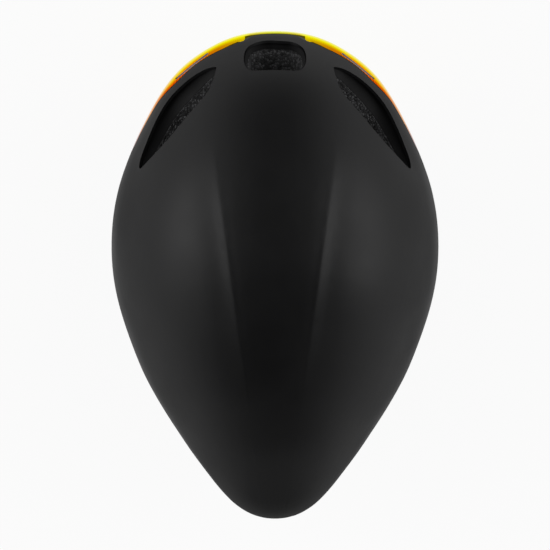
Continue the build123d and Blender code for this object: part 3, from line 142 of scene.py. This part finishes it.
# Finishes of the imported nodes
def makeShellPaint():
    look = {"base": (0.0050, 0.0050, 0.0054), "worn": (0.0064, 0.0064, 0.0068), "rough": (0.44, 0.52),
            "grain": 2600, "peel": 240, "cloud": 16, "grainDepth": 0.012 * mm, "peelDepth": 0.03 * mm,
            "facing": (0.15, 0.8), "gloss": 0.26, "grazing": 0.03}
    material, tree = newMaterial("mattePaint")
    place = objectPlace(tree)
    cloud = noiseOf(tree, place, look["cloud"], 3)
    grain = noiseOf(tree, place, look["grain"], 1)
    peel = noiseOf(tree, place, look["peel"], 2)
    colour = mixColours(tree, remap(tree, cloud, *mottleSpan), look["base"], look["worn"])
    rough = remap(tree, cloud, *roughSpan, *look["rough"])
    below = bumpOf(tree, peel, look["peelDepth"])
    normal = bumpOf(tree, grain, look["grainDepth"], 1, below)
    # The matte paint loses its gloss towards grazing angles
    facing = addNode(tree, "ShaderNodeLayerWeight", {"Blend": 0.5}).outputs["Facing"]
    gloss = remap(tree, facing, *look["facing"], look["gloss"], look["grazing"])
    closeMaterial(tree, {"Base Color": colour, "Roughness": rough, "Specular IOR Level": gloss,
                         "Normal": normal})
    return material


def makeBeadFoam():
    look = {"dark": (0.012, 0.012, 0.0125), "pale": (0.085, 0.085, 0.088), "bead": 560, "fine": 1500,
            "beadDepth": 0.35 * mm, "fineDepth": 0.1 * mm, "toneSpan": (0.1, 0.9), "grooveShadeWidth": 0.16,
            "crown": 0.35, "rough": 0.72, "gloss": 0.35}
    material, tree = newMaterial("beadFoam")
    place = objectPlace(tree)
    bead = addNode(tree, "ShaderNodeTexVoronoi", {"Vector": place, "Scale": look["bead"]}, feature="F1")
    edge = addNode(tree, "ShaderNodeTexVoronoi", {"Vector": place, "Scale": look["bead"]},
                   feature="DISTANCE_TO_EDGE").outputs["Distance"]
    fine = noiseOf(tree, place, look["fine"], 3)
    tone = addNode(tree, "ShaderNodeSeparateColor", {"Color": bead.outputs["Color"]}).outputs[0]
    shade = mixColours(tree, remap(tree, tone, *look["toneSpan"]), look["dark"], look["pale"])
    # Colour runs to the dark tone at the bead edges: painted shade in the grooves between the beads
    colour = mixColours(tree, remap(tree, edge, 0.0, look["grooveShadeWidth"]), look["dark"], shade)
    crown = remap(tree, edge, 0.0, look["crown"])
    below = bumpOf(tree, crown, look["beadDepth"])
    normal = bumpOf(tree, fine, look["fineDepth"], 1, below)
    closeMaterial(tree, {"Base Color": colour, "Roughness": look["rough"],
                         "Specular IOR Level": look["gloss"], "Normal": normal})
    return material


def makeMoulding(name, base, rough, grain, depth, specular=0.4):
    look = {"cloud": 45, "lift": 1.35, "smoother": 0.05, "rougher": 0.06}
    material, tree = newMaterial(name)
    place = objectPlace(tree)
    fine = noiseOf(tree, place, grain, 2)
    cloud = noiseOf(tree, place, look["cloud"], 3)
    lifted = tuple(look["lift"] * tone for tone in base)
    colour = mixColours(tree, remap(tree, cloud, *mottleSpan), base, lifted)
    roughness = remap(tree, cloud, *roughSpan, rough - look["smoother"], rough + look["rougher"])
    closeMaterial(tree, {"Base Color": colour, "Roughness": roughness, "Specular IOR Level": specular,
                         "Normal": bumpOf(tree, fine, depth)})
    return material


def makeBrushedSteel():
    look = {"stretch": (300, 4000, 4000), "dark": (0.42, 0.42, 0.43), "lit": (0.62, 0.62, 0.63),
            "span": (0.2, 0.8), "rough": (0.26, 0.4), "depth": 0.01 * mm}
    material, tree = newMaterial("satinSteel")
    place = objectPlace(tree)
    stretched = addNode(tree, "ShaderNodeMapping", {"Vector": place, "Scale": look["stretch"]}).outputs[0]
    brushed = noiseOf(tree, stretched, 1, 3)
    colour = mixColours(tree, brushed, look["dark"], look["lit"])
    closeMaterial(tree, {"Base Color": colour, "Metallic": 1.0,
                         "Roughness": remap(tree, brushed, *look["span"], *look["rough"]),
                         "Normal": bumpOf(tree, brushed, look["depth"])})
    return material


# The visor's mirror coating: its colour runs round the front and from the upper edge outwards
def makeMirrorCoat():
    coat = {"reach": 0.112, "level": 0.058, "arch": 0.0985, "tip": 0.0835, "temple": 0.079,
            "fade": (0.08, 0.46), "tipSide": (0.016, 0.024), "templeRun": (-0.136, -0.119),
            "inner": ((0.0, (0.72, 0.74, 0.0)), (0.20, (0.72, 0.56, 0.0)), (0.36, (0.72, 0.36, 0.0)),
                      (0.54, (0.90, 0.33, 0.0)), (0.68, (0.82, 0.25, 0.006)), (0.80, (0.85, 0.46, 0.07)),
                      (0.87, (0.30, 0.01, 0.0)), (1.0, (1.0, 0.14, 0.02))),
            "outer": ((0.0, (0.95, 0.97, 0.0)), (0.45, (0.96, 0.90, 0.0)), (0.60, (0.95, 0.82, 0.0)),
                      (0.70, (0.95, 0.66, 0.02)), (0.80, (0.88, 0.50, 0.08)), (0.88, (0.35, 0.012, 0.0)),
                      (0.95, (1.0, 0.09, 0.0)), (1.0, (1.0, 0.20, 0.05))),
            "smear": 60, "rough": (0.07, 0.12), "wave": 30, "waveDepth": 0.04 * mm}
    rib = {"slant": -0.35, "turns": 4300, "from": (0.043, 0.047), "to": (0.073, 0.069),
           "height": (0.0085, 0.0065), "crest": (-0.2, 0.9), "share": 0.38, "tone": (0.16, 0.06, 0.0)}
    inside = {"centre": (0, 0.045, -0.05), "span": (-0.004, 0.004), "tone": (0.014, 0.008, 0.003),
              "tint": (0.3, 0.2, 0.1), "gloss": (0.12, 0.5)}
    material, tree = newMaterial("mirrorCoat")
    coords = addNode(tree, "ShaderNodeTexCoord")
    place = addNode(tree, "ShaderNodeSeparateXYZ", {"Vector": coords.outputs["Object"]})
    side = doMath(tree, "ABSOLUTE", place.outputs["X"])
    around = remap(tree, side, 0.0, coat["reach"], smooth=False)
    # The height of the upper edge: low under the tip, high in the arches, low again at the temples
    ahead = remap(tree, side, *coat["tipSide"], coat["tip"], coat["arch"])
    behind = remap(tree, place.outputs["Y"], *coat["templeRun"], coat["arch"], coat["temple"])
    edge = doMath(tree, "MINIMUM", ahead, behind)
    below = doMath(tree, "SUBTRACT", edge, place.outputs["Z"])
    share = doMath(tree, "DIVIDE", below, doMath(tree, "SUBTRACT", edge, coat["level"]))
    colour = mixColours(tree, remap(tree, share, *coat["fade"]), rampOf(tree, around, coat["inner"]),
                        rampOf(tree, around, coat["outer"]))
    # Fine slanting ribs between the slot and the brow
    across = doMath(tree, "ADD", side, doMath(tree, "MULTIPLY", place.outputs["Y"], rib["slant"]))
    ribs = doMath(tree, "SINE", doMath(tree, "MULTIPLY", across, rib["turns"]))
    band = doMath(tree, "MULTIPLY", remap(tree, side, *rib["from"]), remap(tree, side, *rib["to"]))
    high = remap(tree, below, *rib["height"])
    crest = remap(tree, ribs, *rib["crest"], 0.0, rib["share"])
    ribShare = doMath(tree, "MULTIPLY", doMath(tree, "MULTIPLY", band, high), crest)
    colour = mixColours(tree, ribShare, colour, rib["tone"])
    # The inside of the visor is plain smoked plastic
    centre = addNode(tree, "ShaderNodeVectorMath", {0: coords.outputs["Object"], 1: inside["centre"]},
                     operation="ADD")
    outwards = addNode(tree, "ShaderNodeVectorMath", {0: centre.outputs[0], 1: coords.outputs["Normal"]},
                       operation="DOT_PRODUCT").outputs["Value"]
    outside = remap(tree, outwards, *inside["span"])
    tint = mixColours(tree, outside, inside["tint"], colour)
    colour = mixColours(tree, outside, inside["tone"], colour)
    smear = noiseOf(tree, coords.outputs["Object"], coat["smear"], 4)
    wave = noiseOf(tree, coords.outputs["Object"], coat["wave"], 1)
    closeMaterial(tree, {"Base Color": colour, "Specular Tint": tint, "Metallic": outside,
                         "Specular IOR Level": remap(tree, outwards, *inside["span"], *inside["gloss"]),
                         "Roughness": remap(tree, smear, *roughSpan, *coat["rough"]),
                         "Normal": bumpOf(tree, wave, coat["waveDepth"])})
    return material


# Woven webbing reads its own UV map, which is in metres along and across the strap
def makeWebbingWeave():
    weave = {"pitch": 1.5 * mm, "base": (0.014, 0.014, 0.015), "lit": (0.04, 0.04, 0.043), "shift": 0.1,
             "fold": 1.9 * mm, "slant": 0.9, "warpTurns": 2.4, "fibre": 5200, "twill": 0.32, "warp": 0.12,
             "fibreShare": 0.3, "span": (-0.25, 0.6), "depth": 0.14 * mm}
    material, tree = newMaterial("wovenWebbing")
    flat = addNode(tree, "ShaderNodeUVMap", uv_map="weave").outputs[0]
    place = addNode(tree, "ShaderNodeSeparateXYZ", {"Vector": flat})
    turns = 2 * math.pi / weave["pitch"]
    shifted = doMath(tree, "ADD", place.outputs["Y"], weave["shift"])
    fold = doMath(tree, "PINGPONG", shifted, weave["fold"])
    slant = doMath(tree, "ADD", doMath(tree, "MULTIPLY", place.outputs["X"], turns),
                   doMath(tree, "MULTIPLY", fold, turns * weave["slant"]))
    twill = doMath(tree, "SINE", slant)
    warp = doMath(tree, "SINE", doMath(tree, "MULTIPLY", place.outputs["Y"], turns * weave["warpTurns"]))
    fibre = noiseOf(tree, flat, weave["fibre"], 2)
    height = doMath(tree, "ADD", doMath(tree, "MULTIPLY", twill, weave["twill"]),
                    doMath(tree, "MULTIPLY", warp, weave["warp"]))
    height = doMath(tree, "ADD", height, doMath(tree, "MULTIPLY", fibre, weave["fibreShare"]))
    # Raised threads take the lit colour and the low ones the base colour: painted light and shade on the
    # weave's relief
    colour = mixColours(tree, remap(tree, height, *weave["span"]), weave["base"], weave["lit"])
    closeMaterial(tree, {"Base Color": colour, "Roughness": 0.78, "Sheen Weight": 0.2,
                         "Sheen Roughness": 0.5, "Specular IOR Level": 0.3,
                         "Normal": bumpOf(tree, height, weave["depth"])})
    return material


# Brushed knit: fine loops in rows, with a pressed rim that the rim attribute marks and that is coloured
# darker as painted shade
def makePadKnit():
    knit = {"dark": (0.012, 0.012, 0.014), "lit": (0.045, 0.045, 0.052), "rim": (0.010, 0.010, 0.011),
            "loops": 1350, "fuzz": 420, "share": 0.6, "span": (0.35, 0.8), "depth": 0.22 * mm}
    material, tree = newMaterial("brushedKnit")
    place = objectPlace(tree)
    loops = addNode(tree, "ShaderNodeTexVoronoi", {"Vector": place, "Scale": knit["loops"]},
                    feature="F1").outputs["Distance"]
    fuzz = noiseOf(tree, place, knit["fuzz"], 5, 0.65)
    height = doMath(tree, "ADD", doMath(tree, "MULTIPLY", loops, knit["share"]),
                    doMath(tree, "MULTIPLY", fuzz, knit["share"]))
    rim = addNode(tree, "ShaderNodeAttribute", attribute_name="rim").outputs["Fac"]
    # Raised loops take the lit colour and the low ones the dark colour: painted light and shade on the
    # knit's relief
    colour = mixColours(tree, remap(tree, height, *knit["span"]), knit["dark"], knit["lit"])
    # Along the pad's edges the colour darkens to the rim tone: painted shade where the pad turns down to
    # its carrier
    colour = mixColours(tree, rim, colour, knit["rim"])
    closeMaterial(tree, {"Base Color": colour, "Roughness": 0.9, "Sheen Weight": 0.35,
                         "Sheen Roughness": 0.45, "Specular IOR Level": 0.2,
                         "Normal": bumpOf(tree, height, knit["depth"])})
    return material


finishes = {
    "shell": makeShellPaint(),
    "foam": makeBeadFoam(),
    "duct": makeMoulding("satinDuct", (0.0045, 0.0045, 0.0048), 0.55, 900, 0.02 * mm, 0.12),
    "visor": makeMirrorCoat(),
    "rubber": makeMoulding("softRubber", (0.006, 0.006, 0.0062), 0.62, 1700, 0.03 * mm, 0.3),
    "plastic": makeMoulding("grainedPlastic", (0.012, 0.012, 0.0125), 0.5, 2100, 0.035 * mm),
    "webbing": makeWebbingWeave(),
    "padding": makePadKnit(),
    "steel": makeBrushedSteel(),
}
for part in frame["record"]["subparts"]:
    for slot in nodes[part["node"]].material_slots:
        slot.material = finishes[part["material_slot"]]


# Turns a finished bmesh into a piece that rides on a body
def makePiece(name, mesh, finish, body, smooth=True):
    data = bpy.data.meshes.new(name)
    mesh.to_mesh(data)
    mesh.free()
    data.materials.append(finishes[finish])
    data.polygons.foreach_set("use_smooth", [smooth] * len(data.polygons))
    piece = bpy.data.objects.new(name, data)
    bpy.context.scene.collection.objects.link(piece)
    if body:
        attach(piece, body)
    return piece


def applyModifiers(piece):
    graph = bpy.context.evaluated_depsgraph_get()
    graph.update()
    done = bpy.data.meshes.new_from_object(piece.evaluated_get(graph))
    piece.modifiers.clear()
    piece.data = done


# A strap starts as a bar along X, and a bend function lays it on its path
def layStrap(name, width, thickness, length, stations, bend, body, node):
    edging = {"round": 0.42, "lines": (-0.42, -0.35, -0.2, 0, 0.2, 0.35, 0.42), "ridge": 0.06,
              "ridgeAt": 0.9, "ridgeSpread": 0.06, "sunk": 0.08, "sunkTo": 0.86, "face": 0.2}
    bar = bmesh.new()
    bmesh.ops.create_cube(bar, size=1)
    bmesh.ops.scale(bar, vec=(length, width, thickness), verts=bar.verts)
    edges = [e for e in bar.edges if abs(e.verts[0].co.x - e.verts[1].co.x) > length / 2]
    bmesh.ops.bevel(bar, geom=edges, offset=edging["round"] * thickness, offset_type="OFFSET",
                    affect="EDGES", segments=3, profile=0.5, material=-1, clamp_overlap=True)
    cuts = [((length * (k / stations - 0.5), 0, 0), (1, 0, 0)) for k in range(1, stations)]
    cuts += [((0, width * share, 0), (0, 1, 0)) for share in edging["lines"]]
    for place, facing in cuts:
        everything = bar.verts[:] + bar.edges[:] + bar.faces[:]
        bmesh.ops.bisect_plane(bar, geom=everything, dist=1e-7, plane_co=place, plane_no=facing)
    layer = bar.loops.layers.uv.new("weave")
    for face in bar.faces:
        for loop in face.loops:
            loop[layer].uv = (loop.vert.co.x, loop.vert.co.y + loop.vert.co.z)
    for vert in bar.verts:
        share = abs(vert.co.y) / (width / 2)
        hump = math.exp(-((share - edging["ridgeAt"]) / edging["ridgeSpread"])**2)
        ridge = edging["ridge"] * thickness * hump - edging["sunk"] * thickness * (share < edging["sunkTo"])
        if abs(vert.co.z) > edging["face"] * thickness:
            vert.co.z += math.copysign(ridge, vert.co.z)
        vert.co = bend(vert.co.copy())
    bmesh.ops.recalc_face_normals(bar, faces=bar.faces)
    piece = makePiece(name, bar, "webbing", body)
    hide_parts(node)
    return piece


# A bar tack: short threads laid across a strap
def layTack(name, along, bend, width, thickness, body, rows=2):
    thread = {"size": (1.5 * mm, 0.42 * mm, 0.34 * mm), "count": 9, "middle": 4, "spaces": 11,
              "jitter": 0.12, "rowGap": 2.6 * mm, "round": 0.1 * mm}
    tack = bmesh.new()
    for row in range(rows):
        for k in range(thread["count"]):
            made = bmesh.ops.create_cube(tack, size=1)["verts"]
            bmesh.ops.scale(tack, vec=thread["size"], verts=made)
            jitter = random.uniform(-thread["jitter"], thread["jitter"]) * mm
            lengthwise = along + (row - (rows - 1) / 2) * thread["rowGap"] + jitter
            offset = Vector((lengthwise, (k - thread["middle"]) * width / thread["spaces"], thickness / 2))
            bmesh.ops.translate(tack, vec=offset, verts=made)
    bmesh.ops.bevel(tack, geom=tack.edges[:], offset=thread["round"], offset_type="OFFSET",
                    affect="EDGES", segments=1, profile=0.5, material=-1, clamp_overlap=True)
    layer = tack.loops.layers.uv.new("weave")
    for face in tack.faces:
        for loop in face.loops:
            loop[layer].uv = (loop.vert.co.x, loop.vert.co.y)
    for vert in tack.verts:
        vert.co = bend(vert.co.copy())
    bmesh.ops.recalc_face_normals(tack, faces=tack.faces)
    return makePiece(name, tack, "webbing", body)


# The four short straps run straight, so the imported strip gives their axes
def stripAxes(name):
    data = nodes[name].data
    points = [v.co.copy() for v in data.vertices]
    corners = []
    for point in points:
        if all((point - other).length > 0.05 * mm for other in corners):
            corners.append(point)
    ends = sorted(corners, key=lambda p: abs(p.x))
    inner = sum(ends[:4], Vector()) / 4
    outer = sum(ends[4:], Vector()) / 4
    return inner, outer


def makeShortStraps():
    strap = {"width": 15 * mm, "thickness": 1.2 * mm, "stations": 14, "trim": 1.2 * mm,
             "ripple": 0.16 * mm, "rippleRun": 7 * mm, "rippleSpread": 9 * mm, "slim": 0.86,
             "tackDepth": 0.8, "tacks": (-0.36, 0.36)}
    for side in ("left", "right"):
        for end in ("front", "rear"):
            name = side + "_" + end + "_strap"
            inner, outer = stripAxes(name)
            along = (outer - inner).normalized()
            up = (Vector((0, 0, 1)) - along * along.z).normalized()
            across = along.cross(up)
            length = (outer - inner).length - strap["trim"]
            middle = (inner + outer) / 2

            def bend(co, middle=middle, along=along, up=up, across=across):
                ripple = (strap["ripple"] * math.sin(co.x / strap["rippleRun"])
                          * math.cos(co.y / strap["rippleSpread"]))
                return middle + along * co.x + up * co.y + across * (co.z + ripple)

            title = side + end.capitalize() + "Webbing"
            piece = layStrap(title, strap["width"], strap["thickness"] * strap["slim"], length,
                             strap["stations"], bend, "helmet", name)
            for k, place in enumerate(strap["tacks"]):
                layTack(piece.name + "Tack" + str(k), length * place, bend, strap["width"],
                        strap["thickness"] * strap["tackDepth"], "helmet")


# The chin straps lie in a low hump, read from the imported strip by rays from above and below
def makeChinStraps():
    strap = {"width": 15 * mm, "thickness": 1.2 * mm, "stations": 30, "y": -30 * mm, "trim": 0.2 * mm,
             "above": 0.1, "slim": 0.86, "tackDepth": 0.8, "tacks": (-0.38, 0.38)}
    for side, sign in (("left", 1), ("right", -1)):
        name = side + "_chin_strap"
        tree = BVHTree.FromObject(nodes[name], bpy.context.evaluated_depsgraph_get())
        low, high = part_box(name)
        start, end = low.x + strap["trim"], high.x - strap["trim"]
        line = []
        for k in range(strap["stations"] + 1):
            x = start + (end - start) * k / strap["stations"]
            top = tree.ray_cast(Vector((x, strap["y"], strap["above"])), Vector((0, 0, -1)))[0]
            bottom = tree.ray_cast(Vector((x, strap["y"], -strap["above"])), Vector((0, 0, 1)))[0]
            line.append(Vector((x, strap["y"], (top.z + bottom.z) / 2)))
        runs = [0]
        for first, second in zip(line, line[1:]):
            runs.append(runs[-1] + (second - first).length)
        length = runs[-1]

        def bend(co, line=line, runs=runs, length=length):
            want = min(max(co.x + length / 2, 0), length)
            k = min(max(i for i, run in enumerate(runs) if run <= want), len(line) - 2)
            share = (want - runs[k]) / (runs[k + 1] - runs[k])
            point = line[k].lerp(line[k + 1], share)
            before = (line[k + 1] - line[max(k - 1, 0)]).normalized()
            after = (line[min(k + 2, len(line) - 1)] - line[k]).normalized()
            along = before.lerp(after, share).normalized()
            up = Vector((-along.z, 0, along.x))
            extra = co.x + length / 2 - want
            return point + along * extra + Vector((0, 1, 0)) * co.y + up * co.z

        body = None if side == "left" else "helmet"
        pieces = [layStrap(side + "ChinWebbing", strap["width"], strap["thickness"] * strap["slim"],
                           length, strap["stations"], bend, body, name)]
        for k, place in enumerate(strap["tacks"]):
            pieces.append(layTack(side + "ChinTack" + str(k), length * place, bend, strap["width"],
                                  strap["thickness"] * strap["tackDepth"], body))
        if side == "left":
            for piece in pieces:
                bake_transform(piece)


# The hanger bends about the temples' pivot
def makeHangerWebbing():
    hanger = {"width": 14 * mm, "thickness": 1.6 * mm, "radius": 118.4 * mm, "from": 5.8, "to": 36.5,
              "stations": 34, "pivot": Vector((0, -60 * mm, 60 * mm)), "tilt": math.radians(17),
              "trim": 0.3 * mm, "slim": 0.88, "tackDepth": 0.9, "tack": 0.40, "tackRows": 3}
    back = Vector((0, math.cos(hanger["tilt"]), -math.sin(hanger["tilt"])))
    up = Vector((0, math.sin(hanger["tilt"]), math.cos(hanger["tilt"])))
    start, end = math.radians(hanger["from"]), math.radians(hanger["to"])
    length = (end - start) * hanger["radius"] - 2 * hanger["trim"]

    def bend(co):
        angle = (start + end) / 2 + co.x / hanger["radius"]
        out = back * math.cos(angle) + up * math.sin(angle)
        return hanger["pivot"] + out * (hanger["radius"] + co.z) + Vector((co.y, 0, 0))

    layStrap("hangerWebbing", hanger["width"], hanger["thickness"] * hanger["slim"], length,
             hanger["stations"], bend, "cradle", "hanger")
    layTack("hangerTack", -length * hanger["tack"], bend, hanger["width"],
            -hanger["thickness"] * hanger["tackDepth"], "cradle", hanger["tackRows"])


makeShortStraps()
makeChinStraps()
makeHangerWebbing()
print("webbing laid")


# Pads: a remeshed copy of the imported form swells, then gets its pressed rim and sewn channels
headRoom = {"centre": Vector((0, -33 * mm, 54 * mm)), "halfWidth": 80 * mm, "radius": 104 * mm}
cradleBack = Vector((0, math.cos(math.radians(17)), -math.sin(math.radians(17))))


def padBack(place, flat):
    # The direction from a pad towards what carries it
    if flat:
        return cradleBack
    fromCentre = place - headRoom["centre"]
    return Vector((fromCentre.x / headRoom["halfWidth"]**2, fromCentre.y / headRoom["radius"]**2,
                   fromCentre.z / headRoom["radius"]**2)).normalized()


def makePad(name, title, body, pad, flat=False):
    form = {"backLean": 0.75, "sideLean": 0.5, "proud": 0.1 * mm, "channelDepth": 0.42,
            "channelEnd": 2.5 * mm, "thin": 0.15 * mm, "pressed": 2.2 * mm}
    copy = bmesh.new()
    copy.from_mesh(nodes[name].data)
    bmesh.ops.remove_doubles(copy, verts=copy.verts, dist=1e-6)
    backFaces, sideFaces = [], []
    for face in copy.faces:
        lean = face.normal.dot(padBack(face.calc_center_median(), flat))
        if lean > form["backLean"]:
            backFaces.append(face)
        elif abs(lean) < form["sideLean"]:
            sideFaces.append(face)
    points = [v.co[:] for v in copy.verts]
    backTree = BVHTree.FromPolygons(points, [[v.index for v in f.verts] for f in backFaces])
    sideTree = BVHTree.FromPolygons(points, [[v.index for v in f.verts] for f in sideFaces])
    wholeTree = BVHTree.FromBMesh(copy)
    data = bpy.data.meshes.new(title)
    copy.to_mesh(data)
    copy.free()
    piece = bpy.data.objects.new(title, data)
    bpy.context.scene.collection.objects.link(piece)
    remesh = piece.modifiers.new("voxels", "REMESH")
    remesh.mode = "VOXEL"
    remesh.voxel_size = pad["voxel"]
    applyModifiers(piece)
    swell(piece, pad)
    shape = bmesh.new()
    shape.from_mesh(piece.data)
    bmesh.ops.smooth_vert(shape, verts=shape.verts, factor=0.4, use_axis_x=True, use_axis_y=True,
                          use_axis_z=True)
    bmesh.ops.subdivide_edges(shape, edges=shape.edges[:], cuts=1, use_grid_fill=True, smooth=0.6)
    rimShadeLayer = shape.verts.layers.float.new("rim")
    channels = [Vector(place) for place in pad["channels"]]
    for vert in shape.verts:
        back = padBack(vert.co, flat)
        near = wholeTree.find_nearest(vert.co)
        proud = (vert.co - near[0]).dot(near[1])
        if proud > form["proud"]:
            vert.co -= near[1] * (proud - form["proud"])
        base = backTree.find_nearest(vert.co)[0]
        depth = (base - vert.co).dot(back)
        edge = sideTree.find_nearest(vert.co)[3]
        rise = min(edge / pad["shoulder"], 1)
        share = pad["rim"] + (1 - pad["rim"]) * math.sqrt(max(rise * (2 - rise), 0))
        for place, run in pairsOf(channels):
            gap = abs((vert.co - place).dot(run))
            dip = form["channelDepth"] * math.exp(-(gap / pad["channelWidth"])**2)
            share -= dip * min(edge / form["channelEnd"], 1)
        if depth > form["thin"]:
            vert.co += back * depth * (1 - max(share, pad["rim"]))
        # The rim attribute marks a band along the pad's edges, which the knit darkens as painted shade
        vert[rimShadeLayer] = 1 - min(edge / form["pressed"], 1)
    bmesh.ops.recalc_face_normals(shape, faces=shape.faces)
    shape.to_mesh(piece.data)
    shape.free()
    piece.data.materials.clear()
    piece.data.materials.append(finishes["padding"])
    piece.data.polygons.foreach_set("use_smooth", [True] * len(piece.data.polygons))
    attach(piece, body)
    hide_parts(name)
    print(title, len(piece.data.polygons), "faces")


def pairsOf(flat):
    return list(zip(flat[0::2], flat[1::2]))


def swell(piece, pad):
    knit = {"pressure": 4, "quality": 4, "tension": 20, "bending": 2}
    before = [v.co.copy() for v in piece.data.vertices]
    cloth = piece.modifiers.new("swelling", "CLOTH")
    cloth.settings.use_pressure = True
    cloth.settings.uniform_pressure_force = knit["pressure"]
    cloth.settings.effector_weights.gravity = 0
    cloth.settings.quality = knit["quality"]
    cloth.settings.tension_stiffness = knit["tension"]
    cloth.settings.bending_stiffness = knit["bending"]
    cloth.point_cache.frame_start = 1
    cloth.point_cache.frame_end = pad["frames"]
    for step in range(1, pad["frames"] + 1):
        bpy.context.scene.frame_set(step)
    graph = bpy.context.evaluated_depsgraph_get()
    after = [v.co.copy() for v in piece.evaluated_get(graph).data.vertices]
    piece.modifiers.clear()
    bpy.context.scene.frame_set(1)
    for vert, old, new in zip(piece.data.vertices, before, after):
        move = new - old
        if move.length > pad["cap"]:
            move = move.normalized() * pad["cap"]
        vert.co = old + move


padKinds = {
    "brow": {"voxel": 1.6 * mm, "frames": 12, "cap": 0.8 * mm, "shoulder": 5.5 * mm, "rim": 0.34,
             "fill": 0.6, "channelWidth": 1.3 * mm},
    "crown": {"voxel": 1.5 * mm, "frames": 12, "cap": 0.8 * mm, "shoulder": 5.5 * mm, "rim": 0.34,
              "fill": 0.6, "channelWidth": 1.3 * mm},
    "side": {"voxel": 1.5 * mm, "frames": 12, "cap": 0.8 * mm, "shoulder": 6 * mm, "rim": 0.34,
             "fill": 0.6, "channelWidth": 1.3 * mm},
    "nape": {"voxel": 1.0 * mm, "frames": 12, "cap": 0.6 * mm, "shoulder": 4 * mm, "rim": 0.4,
             "fill": 0.7, "channelWidth": 1.0 * mm},
}


def makePads():
    ahead, aside = Vector((0, 1, 0)), Vector((1, 0, 0))
    brow = dict(padKinds["brow"], channels=[])
    for x in (-34, 0, 34):
        brow["channels"] += [(x * mm, -120 * mm, 90 * mm), aside]
    makePad("brow_pad", "browCushion", "helmet", brow)
    for side in ("left", "right"):
        crown = dict(padKinds["crown"], channels=[])
        for y in (-56, -33, -10):
            crown["channels"] += [(0, y * mm, 145 * mm), ahead]
        makePad(side + "_crown_pad", side + "CrownCushion", "helmet", crown)
        flank = dict(padKinds["side"], channels=[])
        for y in (-44, -22):
            flank["channels"] += [(0, y * mm, 90 * mm), ahead]
        makePad(side + "_side_pad", side + "SideCushion", "helmet", flank)
        nape = dict(padKinds["nape"], channels=[])
        makePad(side + "_nape_pad", side + "NapeCushion", "cradle", nape, flat=True)


makePads()
print("pads made")


# The floor shows white to the camera and keeps a soft shadow
def makeStage():
    stage = {"half": 30.0, "tone": (0.9, 0.9, 0.9), "glow": 0.93}
    sheet = bmesh.new()
    bmesh.ops.create_grid(sheet, x_segments=2, y_segments=2, size=stage["half"])
    data = bpy.data.meshes.new("floor")
    sheet.to_mesh(data)
    sheet.free()
    floor = bpy.data.objects.new("floor", data)
    bpy.context.scene.collection.objects.link(floor)
    material, tree = newMaterial("paleFloor")
    rays = addNode(tree, "ShaderNodeLightPath")
    seen = doMath(tree, "MAXIMUM", rays.outputs["Is Camera Ray"], rays.outputs["Is Glossy Ray"])
    seen = doMath(tree, "MAXIMUM", seen, rays.outputs["Is Transmission Ray"])
    plain = addNode(tree, "ShaderNodeBsdfDiffuse", {"Color": (*stage["tone"], 1)})
    glow = addNode(tree, "ShaderNodeEmission", {"Color": (1, 1, 1, 1), "Strength": 1.0})
    mixed = addNode(tree, "ShaderNodeMixShader", {0: doMath(tree, "MULTIPLY", seen, stage["glow"]),
                                                  1: plain.outputs[0], 2: glow.outputs[0]})
    addNode(tree, "ShaderNodeOutputMaterial", {"Surface": mixed.outputs[0]})
    data.materials.append(material)


# A dark room above, in front and behind, with bright walls on both sides
def makeSky():
    sky = {"dark": 0.10, "wall": 0.80, "from": 0.12, "to": 0.85, "behind": 0.3, "rear": (0.05, 0.7)}
    world = bpy.data.worlds.new("studio")
    bpy.context.scene.world = world
    world.use_nodes = True
    tree = world.node_tree
    tree.nodes.clear()
    coords = addNode(tree, "ShaderNodeTexCoord")
    way = addNode(tree, "ShaderNodeSeparateXYZ", {"Vector": coords.outputs["Generated"]})
    aside = doMath(tree, "ABSOLUTE", way.outputs["X"])
    level = remap(tree, aside, sky["from"], sky["to"], sky["dark"], sky["wall"])
    behind = remap(tree, way.outputs["Y"], *sky["rear"], 1.0, sky["behind"])
    level = doMath(tree, "MULTIPLY", level, behind)
    light = addNode(tree, "ShaderNodeBackground", {"Color": (1, 1, 1, 1), "Strength": level})
    addNode(tree, "ShaderNodeOutputWorld", {"Surface": light.outputs[0]})


def makeLamp(name, place, aim, size, power):
    data = bpy.data.lights.new(name, "AREA")
    data.shape = "RECTANGLE"
    data.size, data.size_y = size
    data.energy = power
    lamp = bpy.data.objects.new(name, data)
    lamp.location = place
    lamp.rotation_mode = "QUATERNION"
    lamp.rotation_quaternion = (Vector(aim) - Vector(place)).to_track_quat("-Z", "Y")
    bpy.context.scene.collection.objects.link(lamp)


def makeCamera():
    shot = {"lens": 800, "sensor": 36, "width": 0.385, "level": 0.057, "x": 0.0, "y": 0.0003,
            "clip": (0.1, 200)}
    data = bpy.data.cameras.new("camera")
    data.lens, data.sensor_width = shot["lens"], shot["sensor"]
    data.clip_start, data.clip_end = shot["clip"]
    camera = bpy.data.objects.new("camera", data)
    camera.location = (shot["x"], shot["y"], shot["level"] + shot["lens"] / shot["sensor"] * shot["width"])
    camera.rotation_euler = (0, 0, math.pi)
    bpy.context.scene.collection.objects.link(camera)
    bpy.context.scene.camera = camera


makeStage()
makeSky()
softbox = {"aside": 1.3, "y": -0.1, "z": 0.7, "aim": (0, 0, 0.08), "size": (1.2, 0.7), "power": 7}
for lampName, lampSign in (("leftSoftbox", 1), ("rightSoftbox", -1)):
    makeLamp(lampName, (lampSign * softbox["aside"], softbox["y"], softbox["z"]), softbox["aim"],
             softbox["size"], softbox["power"])
makeCamera()
bpy.context.scene.view_settings.view_transform = "Standard"
print("stage, lamps and camera set")
